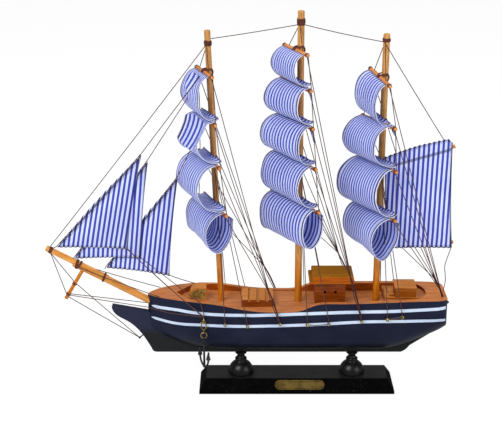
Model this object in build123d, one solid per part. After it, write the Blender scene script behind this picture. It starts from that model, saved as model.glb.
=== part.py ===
from build123d import *
import math
import os

os.makedirs("parts", exist_ok=True)

# A three-masted model sailing ship on a black bevelled display stand.
# Millimetres.  The origin is the centre of the underside of the base, +Z is up,
# the bow points toward -X, the port side faces -Y and the starboard side faces +Y.

# ---- display stand ----
base_length = 160.4
base_width = 37.0
base_height = 11.5
base_edge_height = 2.3
base_bevel = 5.6
post_spacing = 92.0
plate_length = 40.6
plate_width = 7.8
plate_thickness = 0.5
plate_centre_x = 2.3
screw_radius = 1.2
screw_head_radius = 3.0
screw_head_depth = 2.4
screw_top = 35.0

# ---- hull ----
keel_bottom = 30.7
keel_thickness = 5.0
hull_blank_top = 92.0
quarterdeck_front = 70.5
quarterdeck_height = 81.0
transom_x = 120.3
transom_corner_radius = 7.0
tight_fit = 0.03

# ---- masts: foot x, top x, top height, foot radius, top radius ----
mast_heel = 70.0
masts = {
    "fore": (-61.8, -71.0, 297.0, 2.5, 2.4),
    "main": (0.7, 0.3, 311.7, 2.9, 2.6),
    "mizzen": (64.0, 65.5, 294.3, 2.75, 2.6),
}

# ---- yards: mast, height, length, brace angle, tilt angle (degrees) ----
yard_radius = 1.55
yards = {
    "fore_royal": ("fore", 264.9, 46.0, 18.0, 0.0),
    "fore_topgallant": ("fore", 228.6, 52.0, 17.0, 0.0),
    "fore_topsail": ("fore", 195.6, 58.0, 19.0, 0.0),
    "fore_course": ("fore", 157.7, 62.0, 24.0, 0.0),
    "main_skysail": ("main", 282.0, 50.0, 20.0, 0.0),
    "main_royal": ("main", 255.2, 55.0, 24.0, 0.0),
    "main_topgallant": ("main", 226.4, 60.0, 26.0, 0.0),
    "main_topsail": ("main", 195.5, 66.0, 28.0, 0.0),
    "main_course": ("main", 161.3, 70.0, 31.0, 0.0),
    "mizzen_royal": ("mizzen", 261.0, 46.0, 15.0, 7.0),
    "mizzen_topgallant": ("mizzen", 225.8, 52.0, 25.0, 0.0),
    "mizzen_topsail": ("mizzen", 192.3, 57.0, 27.0, 0.0),
    "mizzen_crossjack": ("mizzen", 153.3, 60.0, 27.0, 0.0),
}

# ---- how far each square sail bellies forward, and the sail cloth ----
sail_fullness = {
    "fore_royal": 0.66,
    "fore_topgallant": 0.95,
    "fore_topsail": 1.05,
    "fore_course": 0.66,
    "main_skysail": 0.62,
    "main_royal": 0.76,
    "main_topgallant": 0.86,
    "main_topsail": 0.80,
    "main_course": 0.62,
    "mizzen_royal": 0.62,
    "mizzen_topgallant": 1.05,
    "mizzen_topsail": 1.05,
    "mizzen_crossjack": 0.78,
}
sail_side_margin = 4.0
sail_thickness = 0.5

# ---- bowsprit ----
bowsprit_angle = 28.2
bowsprit_radius = 2.9
jibboom_radius = 2.4
jibboom_offset = 1.2
bowsprit_base = (-121.3, 76.3)
bowsprit_cap_x = -181.0
jibboom_heel_x = -154.5
jibboom_tip_x = -203.0

# ---- rigging thread ----
thread_radius = 0.22
bundle_radius = 1.1
bundle_length = 16.0
bundle_spacing = 0.46


def rod(start, end, radius, end_radius=None):
    """A round rod, or a tapered one, from one point to another."""
    start = Vector(*start)
    end = Vector(*end)
    length = (end - start).length
    plane = Plane(origin=start, z_dir=(end - start).normalized())
    if end_radius is None or abs(end_radius - radius) < 1e-6:
        body = Cylinder(radius, length, align=(Align.CENTER, Align.CENTER, Align.MIN))
    else:
        body = Cone(radius, end_radius, length, align=(Align.CENTER, Align.CENTER, Align.MIN))
    return plane * body


known_boxes = {}


def box_of(shape):
    """Bounding box of a shape, worked out once."""
    if id(shape) not in known_boxes:
        known_boxes[id(shape)] = (shape, shape.bounding_box())
    return known_boxes[id(shape)][1]


def boxes_meet(first, second, gap=0.05):
    """True when two bounding boxes overlap."""
    a = box_of(first)
    b = box_of(second)
    return (
        a.min.X - gap < b.max.X
        and b.min.X - gap < a.max.X
        and a.min.Y - gap < b.max.Y
        and b.min.Y - gap < a.max.Y
        and a.min.Z - gap < b.max.Z
        and b.min.Z - gap < a.max.Z
    )


def solids_of(shape):
    """All solids of a shape or of a list of shapes."""
    if isinstance(shape, list):
        return [solid for item in shape for solid in item.solids()]
    return list(shape.solids())


def trimmed(shape, tools):
    """The solids left when tools are cut away from a shape."""
    pieces = solids_of(shape)
    for tool in tools:
        left = []
        for piece in pieces:
            if boxes_meet(piece, tool):
                left.extend(solids_of(piece - tool))
            else:
                left.append(piece)
        pieces = left
    return pieces


def biggest(pieces):
    """The solid with the largest volume."""
    return max(pieces, key=lambda solid: solid.volume)


def save(name, shape):
    """Writes one sub-part."""
    solids = solids_of(shape)
    shape = solids[0] if len(solids) == 1 else Compound(children=solids)
    shape.label = name
    export_step(shape, "parts/" + name + ".step")
    return shape


# ------------------------------------------------------------------ stand


def make_base_plinth():
    """A rectangular slab with wide bevels on all four top edges and two screw holes."""
    slab = Box(
        base_length, base_width, base_edge_height, align=(Align.CENTER, Align.CENTER, Align.MIN)
    )
    low = Plane.XY.offset(base_edge_height) * Rectangle(base_length, base_width)
    top = Plane.XY.offset(base_height) * Rectangle(
        base_length - 2 * base_bevel, base_width - 2 * base_bevel - 0.6
    )
    body = slab + loft([low.face(), top.face()], ruled=True)
    for side in (-1, 1):
        x = side * post_spacing / 2
        body -= Pos(x, 0, base_height / 2) * Cylinder(screw_radius + 0.05, base_height + 1)
        body -= Pos(x, 0, screw_head_depth / 2) * Cylinder(screw_head_radius + 0.1, screw_head_depth)
    return body


def make_name_plate():
    """A thin blank brass plate with round ends, lying on the front bevel."""
    slope = math.atan2(base_height - base_edge_height, base_bevel + 0.3)
    middle_y = -base_width / 2 + (base_bevel + 0.3) / 2
    middle_z = (base_edge_height + base_height) / 2
    normal = (0, -math.sin(slope), math.cos(slope))
    plane = Plane(origin=(plate_centre_x, middle_y, middle_z), x_dir=(1, 0, 0), z_dir=normal)
    outline = SlotOverall(plate_length, plate_width)
    field = SlotOverall(plate_length - 1.6, plate_width - 1.6)
    plate = extrude(outline, plate_thickness) - Pos(0, 0, plate_thickness - 0.12) * extrude(field, 0.2)
    return plane * plate


def make_stand_post(x):
    """A turned post: thin foot, dome, collar, waisted neck and a flange under the keel."""
    foot_z = base_height
    height = keel_bottom - base_height
    with BuildPart() as post:
        with BuildSketch(Plane.XZ):
            with BuildLine():
                Polyline(
                    (screw_radius + 0.05, foot_z),
                    (9.8, foot_z),
                    (10.3, foot_z + 0.5),
                    (10.4, foot_z + 1.0),
                )
                ThreePointArc(
                    (10.4, foot_z + 1.0),
                    (8.83, foot_z + 6.5),
                    (4.6, foot_z + 10.3),
                )
                Polyline(
                    (4.6, foot_z + 10.3),
                    (4.3, foot_z + 10.8),
                    (4.3, foot_z + 11.6),
                )
                ThreePointArc(
                    (4.3, foot_z + 11.6),
                    (4.9, foot_z + 12.5),
                    (4.2, foot_z + 13.4),
                )
                ThreePointArc(
                    (4.2, foot_z + 13.4),
                    (3.1, foot_z + 15.0),
                    (4.7, foot_z + 17.6),
                )
                Polyline(
                    (4.7, foot_z + 17.6),
                    (4.7, foot_z + height),
                    (screw_radius + 0.05, foot_z + height),
                    (screw_radius + 0.05, foot_z),
                )
            make_face()
        revolve(axis=Axis.Z)
    return Pos(x, 0, 0) * post.part


def make_stand_screws():
    """Two long screws from below the base, up through the posts into the keel."""
    screws = []
    for side in (-1, 1):
        x = side * post_spacing / 2
        shaft = Pos(x, 0, screw_top / 2 + 0.2) * Cylinder(screw_radius, screw_top - 0.4)
        head = Pos(x, 0, screw_head_depth / 2 + 0.1) * Cylinder(
            screw_head_radius, screw_head_depth - 0.2
        )
        slot = Pos(x, 0, 0.3) * Box(2 * screw_head_radius, 0.8, 1.2)
        screws.append((shaft + head - slot).solid())
    return Compound(children=screws)


# ------------------------------------------------------------------ hull

# Where the cross sections stand
hull_bow_x = -121.6
greatest_half_breadth = 26.0
station_x = (
    -121.6, -120.4, -117.5, -112.5, -105.0, -95.0, -82.0, -66.0,
    -45.0, -15.0, 20.0, 50.0, 72.0, 90.0, 105.0, 120.3,
)


def half_breadth(x):
    """Half breadth at the rail: a full round bow and a gently narrowing stern."""
    if x < -10.0:
        share = (-10.0 - x) / (-10.0 - hull_bow_x)
        return max(0.9, greatest_half_breadth * (1.0 - share**3.2) ** 0.667)
    return greatest_half_breadth - 5.4 * ((x + 10.0) / 130.3) ** 1.9


def keel_line(x):
    """Height of the underside of the hull, rising at both ends."""
    if x < -60.0:
        return 35.2 + 18.3 * ((-60.0 - x) / 61.6) ** 2.4
    if x > 70.0:
        return 35.2 + 19.8 * ((x - 70.0) / 50.3) ** 1.5
    return 35.2


def section_fullness(x):
    """1 for the round midship section, falling to a narrow V at the stem."""
    if x < -45.0:
        return 1.0 - min(1.0, (-45.0 - x) / 76.6) ** 1.7
    if x > 50.0:
        return 1.0 - 0.3 * ((x - 50.0) / 70.3) ** 1.5
    return 1.0


# The rail line seen from the side
sheer_line = (
    (-130.0, 80.6),
    (-113.0, 82.4),
    (-81.0, 82.5),
    (-66.0, 81.6),
    (-50.0, 79.0),
    (-34.0, 76.6),
    (-12.0, 75.9),
    (2.0, 77.2),
    (13.6, 81.7),
    (30.0, 82.8),
    (67.0, 83.1),
    (95.0, 83.5),
    (130.0, 83.0),
)


def hull_section(x, breadth, keel_z, fullness):
    """One cross section of the hull blank: flat keel strip, round bilge, nearly upright side."""
    height = 82.0 - keel_z
    flat = min(2.4, 0.7 * breadth)
    low = flat + (breadth - flat) * (0.10 + 0.34 * fullness)
    bilge = flat + (breadth - flat) * (0.42 + 0.36 * fullness)
    side = flat + (breadth - flat) * (0.80 + 0.195 * fullness)
    points = [
        (flat, keel_z),
        (low, keel_z + 0.07 * height),
        (bilge, keel_z + 0.24 * height),
        (side, keel_z + 0.55 * height),
        (breadth, keel_z + 1.0 * height),
        (breadth * 0.985, hull_blank_top),
    ]
    right = Spline(*[(x, y, z) for y, z in points])
    left = Spline(*[(x, -y, z) for y, z in points])
    bottom = Line((x, -flat, keel_z), (x, flat, keel_z))
    top = Line((x, -points[-1][0], hull_blank_top), (x, points[-1][0], hull_blank_top))
    return Face(Wire([right, top, left, bottom]))


def sheer_cutter():
    """Everything above the rail line."""
    line = Spline(*[(x, 0, z) for x, z in sheer_line])
    start = Vector(sheer_line[0][0], 0, sheer_line[0][1])
    end = Vector(sheer_line[-1][0], 0, sheer_line[-1][1])
    rest = Polyline(end, (end.X, 0, 110), (start.X, 0, 110), start)
    return extrude(Face(Wire([line] + list(rest.edges()))), 45, dir=(0, 1, 0), both=True)


def deck_cutter():
    """The sunken deck: blunt pointed front, curved sides, round after end, stepped floor."""
    far = [(-87.4, 15.5), (-70.0, 20.2), (-45.0, 21.6), (0.0, 21.9), (44.0, 20.5), (80.0, 18.9)]
    after = [(80.0, 18.9), (98.6, 16.0)]
    outline = Wire(
        [
            Line((-98.5, 0), far[0]),
            Spline(*far),
            Line(*after),
            ThreePointArc(after[1], (104.4, 0), (after[1][0], -after[1][1])),
            Line((after[1][0], -after[1][1]), (after[0][0], -after[0][1])),
            Spline(*[(x, -y) for x, y in reversed(far)]),
            Line((far[0][0], -far[0][1]), (-98.5, 0)),
        ]
    )
    prism = extrude(Pos(0, 0, 70) * Face(outline), 40, dir=(0, 0, 1))
    floor = Wire(
        [
            Spline(
                (-102, 0, 78.6), (-80, 0, 77.7), (-58, 0, 75.6),
                (-20, 0, 75.2), (10, 0, 75.3), (quarterdeck_front, 0, 76.3),
            ),
            Line((quarterdeck_front, 0, 76.3), (quarterdeck_front, 0, quarterdeck_height)),
            Line((quarterdeck_front, 0, quarterdeck_height), (110, 0, quarterdeck_height)),
            Line((110, 0, quarterdeck_height), (110, 0, 100)),
            Line((110, 0, 100), (-102, 0, 100)),
            Line((-102, 0, 100), (-102, 0, 78.6)),
        ]
    )
    above_floor = extrude(Face(floor), 40, dir=(0, 1, 0), both=True)
    return prism & above_floor


def make_hull_blank():
    """The lofted hull with its rail line, round transom corners and sunken deck."""
    blank = loft(
        [hull_section(x, half_breadth(x), keel_line(x), section_fullness(x)) for x in station_x]
    )
    blank -= sheer_cutter()
    for side in (-1, 1):
        roller = Pos(
            transom_x - transom_corner_radius, side * (20.6 - transom_corner_radius), 60
        ) * Cylinder(transom_corner_radius, 90)
        block = Pos(
            transom_x - transom_corner_radius / 2 + 3,
            side * (20.6 - transom_corner_radius / 2 + 3),
            60,
        ) * Box(transom_corner_radius + 6, transom_corner_radius + 6, 80)
        blank -= block - roller
    blank -= deck_cutter()
    return blank


def keel_profile():
    """Side view of the keel plank with the hollow cutwater and the pointed beakhead."""
    edges = [
        Line((-116.0, keel_bottom), (86.0, keel_bottom)),
        Spline((86.0, keel_bottom), (89.5, 32.6), (93.0, 36.6)),
        Line((93.0, 36.6), (119.9, 54.4)),
        Line((119.9, 54.4), (119.9, 60)),
        Line((119.9, 60), (-100, 60)),
        Line((-100, 60), (-118, 66)),
        Line((-118, 66), (-151.0, 72.0)),
        Line((-151.0, 72.0), (-151.4, 70.6)),
        Spline(
            (-151.4, 70.6), (-148.3, 64.4), (-138.7, 58.2),
            (-130.9, 51.6), (-125.2, 44.0), (-119.5, 34.0),
        ),
        Spline((-119.5, 34.0), (-118.2, 31.6), (-116.0, keel_bottom)),
    ]
    return Face(Wire([Plane.XZ.from_local_coords(edge) for edge in edges]))


def make_keel_cutwater(hull, pins):
    """The keel plank, cut to the hull above it, with holes for the pin and the screws."""
    plank = extrude(keel_profile(), keel_thickness / 2, dir=(0, 1, 0), both=True)
    tools = [hull]
    for side in (-1, 1):
        tools.append(Pos(side * post_spacing / 2, 0, 33) * Cylinder(screw_radius + 0.05, 5.0))
    tools += list(pins.solids())
    return biggest(trimmed(plank, tools))


# ------------------------------------------------------------------ spars


def mast_axis(mast, z):
    """Point on a mast's centre line at a height."""
    foot_x, top_x, top_z, foot_radius, top_radius = masts[mast]
    share = (z - 75.0) / (top_z - 75.0)
    return Vector(foot_x + (top_x - foot_x) * share, 0, z)


def mast_radius(mast, z):
    """Radius of a mast at a height."""
    foot_x, top_x, top_z, foot_radius, top_radius = masts[mast]
    return foot_radius + (top_radius - foot_radius) * (z - 75.0) / (top_z - 75.0)


def make_mast(mast, extra=0.0):
    """A slightly tapered round mast with a softened top, stepped in the deck."""
    top_z = masts[mast][2]
    start = mast_axis(mast, mast_heel - extra)
    end = mast_axis(mast, top_z)
    body = rod(
        tuple(start), tuple(end), mast_radius(mast, mast_heel) + extra, masts[mast][4] + extra
    )
    if extra == 0.0:
        body = fillet(body.edges().sort_by(Axis.Z)[-1], 0.9)
    return body


def yard_frame(name):
    """Local plane of a yard: x forward, y up, z along the yard toward starboard."""
    mast, z, length, brace, tilt = yards[name]
    brace = math.radians(brace)
    tilt = math.radians(tilt)
    forward = Vector(-math.cos(brace), -math.sin(brace), 0)
    along = Vector(
        -math.sin(brace) * math.cos(tilt), math.cos(brace) * math.cos(tilt), math.sin(tilt)
    )
    offset = mast_radius(mast, z) + yard_radius + tight_fit
    lean = 0.06 if mast == "fore" else 0.0
    centre = mast_axis(mast, z) + forward * (offset + lean)
    return Plane(origin=centre, x_dir=forward, z_dir=along), offset


def yard_point(name, share):
    """Point on a yard's centre line; -1 is the port tip and +1 the starboard tip."""
    plane, offset = yard_frame(name)
    half = yards[name][2] / 2
    return plane.origin + plane.z_dir * (half * share)


def make_yard(name):
    """A round yard with gently tapered ends."""
    plane, offset = yard_frame(name)
    half = yards[name][2] / 2
    middle = Cylinder(yard_radius, half)
    body = middle
    for side in (-1, 1):
        taper = Cone(
            yard_radius, yard_radius - 0.35, half / 2, align=(Align.CENTER, Align.CENTER, Align.MIN)
        )
        body += Pos(0, 0, side * half / 2) * Rot(0, 0 if side > 0 else 180, 0) * taper
    return plane * body


def bowsprit_plane():
    """Plane whose z axis runs along the bowsprit, x axis to starboard, y axis up-and-back."""
    angle = math.radians(bowsprit_angle)
    along = Vector(-math.cos(angle), 0, math.sin(angle))
    return Plane(origin=(bowsprit_base[0], 0, bowsprit_base[1]), x_dir=(0, 1, 0), z_dir=along)


def along_bowsprit(x):
    """Distance along the bowsprit for a given x."""
    return (bowsprit_base[0] - x) / math.cos(math.radians(bowsprit_angle))


def bowsprit_point(x, lift=0.0):
    """Point above the bowsprit's centre line."""
    rise = (bowsprit_base[0] - x) * math.tan(math.radians(bowsprit_angle))
    return Vector(x, 0, bowsprit_base[1] + rise + lift)


def make_bowsprit():
    """The lower spar, let into the stem and cut flat on top where the jibboom lies."""
    plane = bowsprit_plane()
    end = along_bowsprit(bowsprit_cap_x)
    heel = along_bowsprit(jibboom_heel_x)
    spar = Pos(0, 0, (end - 12) / 2) * Cylinder(bowsprit_radius, end + 12)
    up = 1 if plane.y_dir.Z > 0 else -1
    flat = Pos(0, up * (jibboom_offset / 2 + 5), (heel + end) / 2 + 5) * Box(20, 10, end - heel + 10)
    return plane * (spar - flat)


def make_jibboom():
    """The upper spar, cut flat underneath where it lies on the bowsprit."""
    plane = bowsprit_plane()
    up = 1 if plane.y_dir.Z > 0 else -1
    end = along_bowsprit(bowsprit_cap_x)
    heel = along_bowsprit(jibboom_heel_x)
    tip = along_bowsprit(jibboom_tip_x)
    spar = Pos(0, up * jibboom_offset, (heel + tip) / 2) * Cylinder(jibboom_radius, tip - heel)
    flat = Pos(0, up * (jibboom_offset / 2 - 5), (heel + end) / 2 - 2) * Box(20, 10, end - heel + 4)
    return plane * (spar - flat)


def make_dolphin_striker(bowsprit, jibboom):
    """The short spar pointing down and forward below the bowsprit."""
    spar = rod((-172.6, 0, 104.4), (-188.6, 0, 77.4), 1.45)
    return min(trimmed(spar, [bowsprit, jibboom]), key=lambda solid: solid.center().Z)


# ------------------------------------------------------------------ sails


def sheet_face(points):
    """A thin closed strip around a smooth curve through points of its own plane."""
    curve = Spline(*points)
    steps = 2 * len(points)
    upper = []
    lower = []
    for index in range(steps + 1):
        share = index / steps
        spot = curve.position_at(share)
        tangent = curve.tangent_at(share)
        normal = Vector(-tangent.Y, tangent.X, 0)
        upper.append(spot + normal * (sail_thickness / 2))
        lower.append(spot - normal * (sail_thickness / 2))
    return Face(
        Wire(
            [
                Spline(*upper),
                Line(upper[-1], lower[-1]),
                Spline(*reversed(lower)),
                Line(lower[0], upper[0]),
            ]
        )
    )


def sail_curve(name, lower_name):
    """Side profile of a square sail, forward and up from its own yard.

    It leaves the front of the yard, bulges forward in a round arc, and its foot
    curls back over the next yard and up in front of the mast.
    """
    mast, z, length, brace, tilt = yards[name]
    plane, offset = yard_frame(name)
    hang = (yard_radius + 0.30) * 0.72
    if lower_name is None:
        drop = 30.0 if mast == "main" else 28.0
        belly = 19.0 * sail_fullness[name]
        front = mast_front(name, z - 0.5 * drop) + 0.75
        centre = 0.5 * (hang + belly + front)
        points = [(hang, hang)]
        for angle in (24, 48, 70, 90):
            turn = math.radians(angle)
            points.append((hang + belly * math.sin(turn), -14.0 + (14.0 + hang) * math.cos(turn)))
        for angle in (28, 56, 84, 112, 140):
            turn = math.radians(angle)
            across = 0.5 * (hang + belly - front)
            points.append((centre + across * math.cos(turn), -14.0 - (drop - 14.0) * math.sin(turn)))
        points.append((front, -14.0))
        points.append((front, -4.2))
        return points
    droop = math.sin(math.radians(tilt)) * length / 2
    drop = z - yards[lower_name][1] - droop
    belly = (10.5 + 0.16 * drop) * sail_fullness[name]
    waist = -0.48 * drop
    low = 3.1 - drop
    front = max(mast_front(name, z - drop), mast_front(name, z - drop + 9.0)) + 0.5
    points = [(hang, hang)]
    for angle in (24, 48, 70, 90):
        turn = math.radians(angle)
        points.append((hang + belly * math.sin(turn), waist + (hang - waist) * math.cos(turn)))
    for angle in (22, 45, 68, 90):
        turn = math.radians(angle)
        points.append(
            (1.6 + (hang + belly - 1.6) * math.cos(turn), waist + (low - waist) * math.sin(turn))
        )
    points.append((front + 0.7, low + 1.0))
    points.append((front, low + 3.4))
    return points


def mast_front(name, z):
    """Forward position of the mast's front face at a height, measured from the yard."""
    mast = yards[name][0]
    plane, offset = yard_frame(name)
    shift = (mast_axis(mast, z) - mast_axis(mast, yards[name][1])).dot(plane.x_dir)
    return shift + mast_radius(mast, z) - offset


def make_square_sail(name, lower_name, obstacles):
    """A thin curled sheet below a yard, notched where lashings pass through it."""
    plane, offset = yard_frame(name)
    half = yards[name][2] / 2 - sail_side_margin
    sheet = extrude(plane * sheet_face(sail_curve(name, lower_name)), half, plane.z_dir, both=True)
    return biggest(trimmed(sheet, obstacles))


def flat_sail(corners, hollow, y):
    """A flat sheet with straight or slightly hollow edges at one side offset."""
    edges = []
    count = len(corners)
    centre_x = sum(corner[0] for corner in corners) / count
    centre_z = sum(corner[1] for corner in corners) / count
    for index in range(count):
        start = corners[index]
        end = corners[(index + 1) % count]
        middle = ((start[0] + end[0]) / 2, (start[1] + end[1]) / 2)
        reach = math.hypot(centre_x - middle[0], centre_z - middle[1])
        shift = hollow[index] / reach
        bend = (
            middle[0] + (centre_x - middle[0]) * shift,
            middle[1] + (centre_z - middle[1]) * shift,
        )
        a = (start[0], y, start[1])
        b = (bend[0], y, bend[1])
        c = (end[0], y, end[1])
        edges.append(ThreePointArc(a, b, c) if abs(hollow[index]) > 0.01 else Line(a, c))
    face = Face(Wire(edges))
    return extrude(face, sail_thickness / 2, dir=(0, 1, 0), both=True)


jib_corners = {
    "flying_jib": (((-123.4, 199.1), (-192.9, 122.8), (-137.4, 121.5)), -2.6),
    "outer_jib": (((-118.6, 193.4), (-179.7, 112.5), (-126.4, 112.9)), -0.6),
    "inner_jib": (((-95.5, 179.4), (-154.6, 103.8), (-103.8, 97.0)), 1.4),
}
spanker_corners = ((66.9, 197.3), (119.4, 209.6), (123.2, 122.8), (69.6, 122.3))
spanker_y = -3.6


def make_spanker_gaff():
    """The upper spar of the spanker, butted against the mizzen mast."""
    start = (64.0, 0, 188.4)
    end = (122.2, 0, 205.9)
    return biggest(trimmed(rod(start, end, 1.5), [make_mast("mizzen", 0.02)]))


def make_spanker_boom():
    """The lower spar of the spanker, butted against the mizzen mast."""
    boom = rod((62.0, 0, 122.0), (124.6, 0, 126.2), 1.5)
    return biggest(trimmed(boom, [make_mast("mizzen", 0.02)]))


# ------------------------------------------------------------------ deck fittings


def make_fore_companion(hull):
    """A small box with a rounded front shoulder and a recessed port end."""
    low = 76.0
    profile = [
        Line((-88.0, low), (-88.0, 80.0)),
        ThreePointArc((-88.0, 80.0), (-85.7, 85.9), (-79.5, 88.6)),
        Line((-79.5, 88.6), (-74.0, 88.6)),
        Line((-74.0, 88.6), (-74.0, low)),
        Line((-74.0, low), (-88.0, low)),
    ]
    face = Face(Wire([Plane.XZ.from_local_coords(edge) for edge in profile]))
    body = Pos(0, 7, 0) * extrude(face, 11.5, dir=(0, -1, 0))
    recess = companion_opening(0.0)
    return biggest(trimmed(body, [recess, hull]))


def companion_opening(gap):
    """The shallow arched opening in the port end of the companion."""
    profile = [
        Line((-87.0 + gap, 78.6 + gap), (-87.0 + gap, 80.0)),
        ThreePointArc((-87.0 + gap, 80.0), (-84.9 + gap * 0.7, 84.8 - gap * 0.7), (-79.6, 87.0 - gap)),
        Line((-79.6, 87.0 - gap), (-74.8 - gap, 87.0 - gap)),
        Line((-74.8 - gap, 87.0 - gap), (-74.8 - gap, 78.6 + gap)),
        Line((-74.8 - gap, 78.6 + gap), (-87.0 + gap, 78.6 + gap)),
    ]
    face = Face(Wire([Plane.XZ.from_local_coords(edge) for edge in profile]))
    return Pos(0, -4.5, 0) * extrude(face, 0.9, dir=(0, 1, 0))


def make_companion_lattice():
    """A woven diagonal lattice set into the opening of the companion."""
    opening = companion_opening(0.05)
    bars = None
    for slant in (-1, 1):
        for index in range(-5, 6):
            bar = Pos(-81.0 + index * 2.0, -4.1, 83.0) * Rot(0, slant * 45, 0) * Box(0.55, 0.7, 26)
            bars = bar if bars is None else bars + bar
    rim = opening - companion_opening(0.75)
    lattice = (bars & opening) + rim
    return biggest(solids_of(lattice))


def make_fore_deckhouse(hull):
    """A low square deckhouse whose roof is cut into four slats."""
    body = Pos(-32.5, 0.2, 77.5) * Box(25.7, 25.4, 7.0)
    for x, width in ((-39.2, 1.7), (-32.2, 2.3), (-25.0, 2.3)):
        body -= Pos(x, 0.2, 80.6) * Box(width, 26, 1.6)
    return biggest(trimmed(body, [hull]))


def make_wheelhouse(hull):
    """The deckhouse between main and mizzen masts, with two round portholes to port."""
    body = Pos(26.2, 0, 84.9) * Box(24.4, 20.0, 20.2)
    for x in (21.9, 30.5):
        body -= Pos(x, -10, 86.9) * Rot(90, 0, 0) * Cylinder(1.1, 3.0)
    return biggest(trimmed(body, [hull]))


def make_wheelhouse_roof():
    """A two-layer roof: a thin slab and a thicker block, flush along both sides."""
    slab = Pos(27.3, 0, 96.1) * Box(36.2, 26.0, 2.2)
    block = Pos(28.2, 0, 99.2) * Box(33.0, 26.6, 4.0)
    block = fillet(block.edges().group_by(Axis.Z)[-1], 0.9)
    return slab + block


def make_aft_cabin():
    """The cabin on the quarterdeck: a floor plate, a box with a thin roof lip, and a step."""
    plate = Pos(84.3, 0, quarterdeck_height + 0.6) * Box(26.4, 22.0, 1.2)
    box = Pos(87.3, 0, quarterdeck_height + 5.1) * Box(16.6, 19.4, 7.8)
    lip = Pos(87.3, 0, quarterdeck_height + 8.7) * Box(17.6, 20.2, 0.9)
    step = Pos(76.2, 0, quarterdeck_height + 1.9) * Box(4.2, 14.0, 1.4)
    return plate + box + lip + step


# ------------------------------------------------------------------ eyelets, pins, anchor

# Port-side eyelets: x and height; the starboard ones are mirrored
eyelet_spots = (
    (-75.4, 70.0),
    (-58.4, 65.4),
    (-40.4, 64.4),
    (-14.8, 66.6),
    (7.3, 65.8),
    (24.5, 66.5),
    (50.5, 68.3),
    (71.0, 69.4),
    (83.0, 71.3),
)
eyelet_ring_radius = 1.3
eyelet_wire_radius = 0.35
anchor_ring_radius = 1.6


def side_y(hull, x, z):
    """Half breadth of the hull at a point of its side."""
    hits = hull.find_intersection_points(Axis((x, 60, z), (0, -1, 0)))
    return max(point.Y for point, normal in hits)


def eyelet_centres(hull):
    """Ring centres of all eyelets, port side first."""
    centres = []
    for side in (-1, 1):
        for index, (x, z) in enumerate(eyelet_spots):
            reach = side_y(hull, x, z) + 0.75 + eyelet_ring_radius
            if index == 0:
                reach = side_y(hull, x, z) + 1.1 + anchor_ring_radius
            centres.append((x, side * reach, z, side, index))
    return centres


def make_hull_eyelets(centres):
    """Small brass screw eyes along both sides of the hull."""
    eyes = []
    for x, y, z, side, index in centres:
        radius = anchor_ring_radius if index == 0 else eyelet_ring_radius
        ring = Pos(x, y, z) * Rot(0, 90, 0) * Torus(radius, eyelet_wire_radius)
        inner = abs(y) - radius
        shank = Pos(x, side * (inner - 1.7), z) * Rot(90, 0, 0) * Cylinder(0.42, 3.6)
        eyes.append((ring + shank).solid())
    return eyes


def eyelet_holes(centres):
    """Pilot holes for the screw eyes."""
    holes = []
    for x, y, z, side, index in centres:
        radius = anchor_ring_radius if index == 0 else eyelet_ring_radius
        inner = abs(y) - radius
        holes.append(Pos(x, side * (inner - 2.0), z) * Rot(90, 0, 0) * Cylinder(0.47, 4.2))
    return holes


def make_hull_pins(extra=0.0):
    """One black pin in the cutwater and one in the transom for the end lines."""
    bow_inner = (-123.2, 0, 47.8)
    bow_outer = (-130.1, 0, 42.0)
    stern_inner = (115.5, 0, 74.0)
    stern_outer = (124.0, 0, 74.0)
    bow = rod(bow_inner, bow_outer, 0.55 + extra)
    stern = rod(stern_inner, stern_outer, 0.7 + extra)
    if extra == 0.0:
        stern += Pos(122.7, 0, 74.0) * Rot(0, 90, 0) * Cylinder(1.25, 1.3)
        bow += Plane(origin=(-129.5, 0, 42.5), z_dir=(-6.9, 0, -5.8)) * Cylinder(0.95, 0.9)
    return Compound(children=[bow.solid(), stern.solid()])


anchor_ring_centre_z = 55.7
anchor_ring_major = 2.45
anchor_ring_minor = 0.45


def make_anchor_clasp(x, y, hinge_z):
    """A brass spring clasp: hinge eye on top, long body with a gate slot, round ring below."""
    eye = Pos(x, y, hinge_z) * Rot(90, 0, 0) * Torus(0.80, 0.35)
    body_top = hinge_z - 0.85
    body_low = anchor_ring_centre_z + anchor_ring_major - 0.1
    length = body_top - body_low
    plane = Plane(origin=(x, y, (body_top + body_low) / 2), x_dir=(0, 0, 1), z_dir=(0, -1, 0))
    body = extrude(SlotOverall(length, 4.2), 0.95, both=True)
    slot = extrude(Pos(-0.3, 0.15) * SlotOverall(length - 4.2, 1.7), 2.0, both=True)
    body = plane * (fillet(body.edges().filter_by(GeomType.CIRCLE), 0.35) - slot)
    lever = Pos(x - 2.1, y, hinge_z - 3.4) * Rot(0, 20, 0) * Box(0.8, 1.0, 2.4)
    ring = Pos(x, y, anchor_ring_centre_z) * Rot(90, 0, 0) * Torus(
        anchor_ring_major, anchor_ring_minor
    )
    return eye + body + lever + ring


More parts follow.
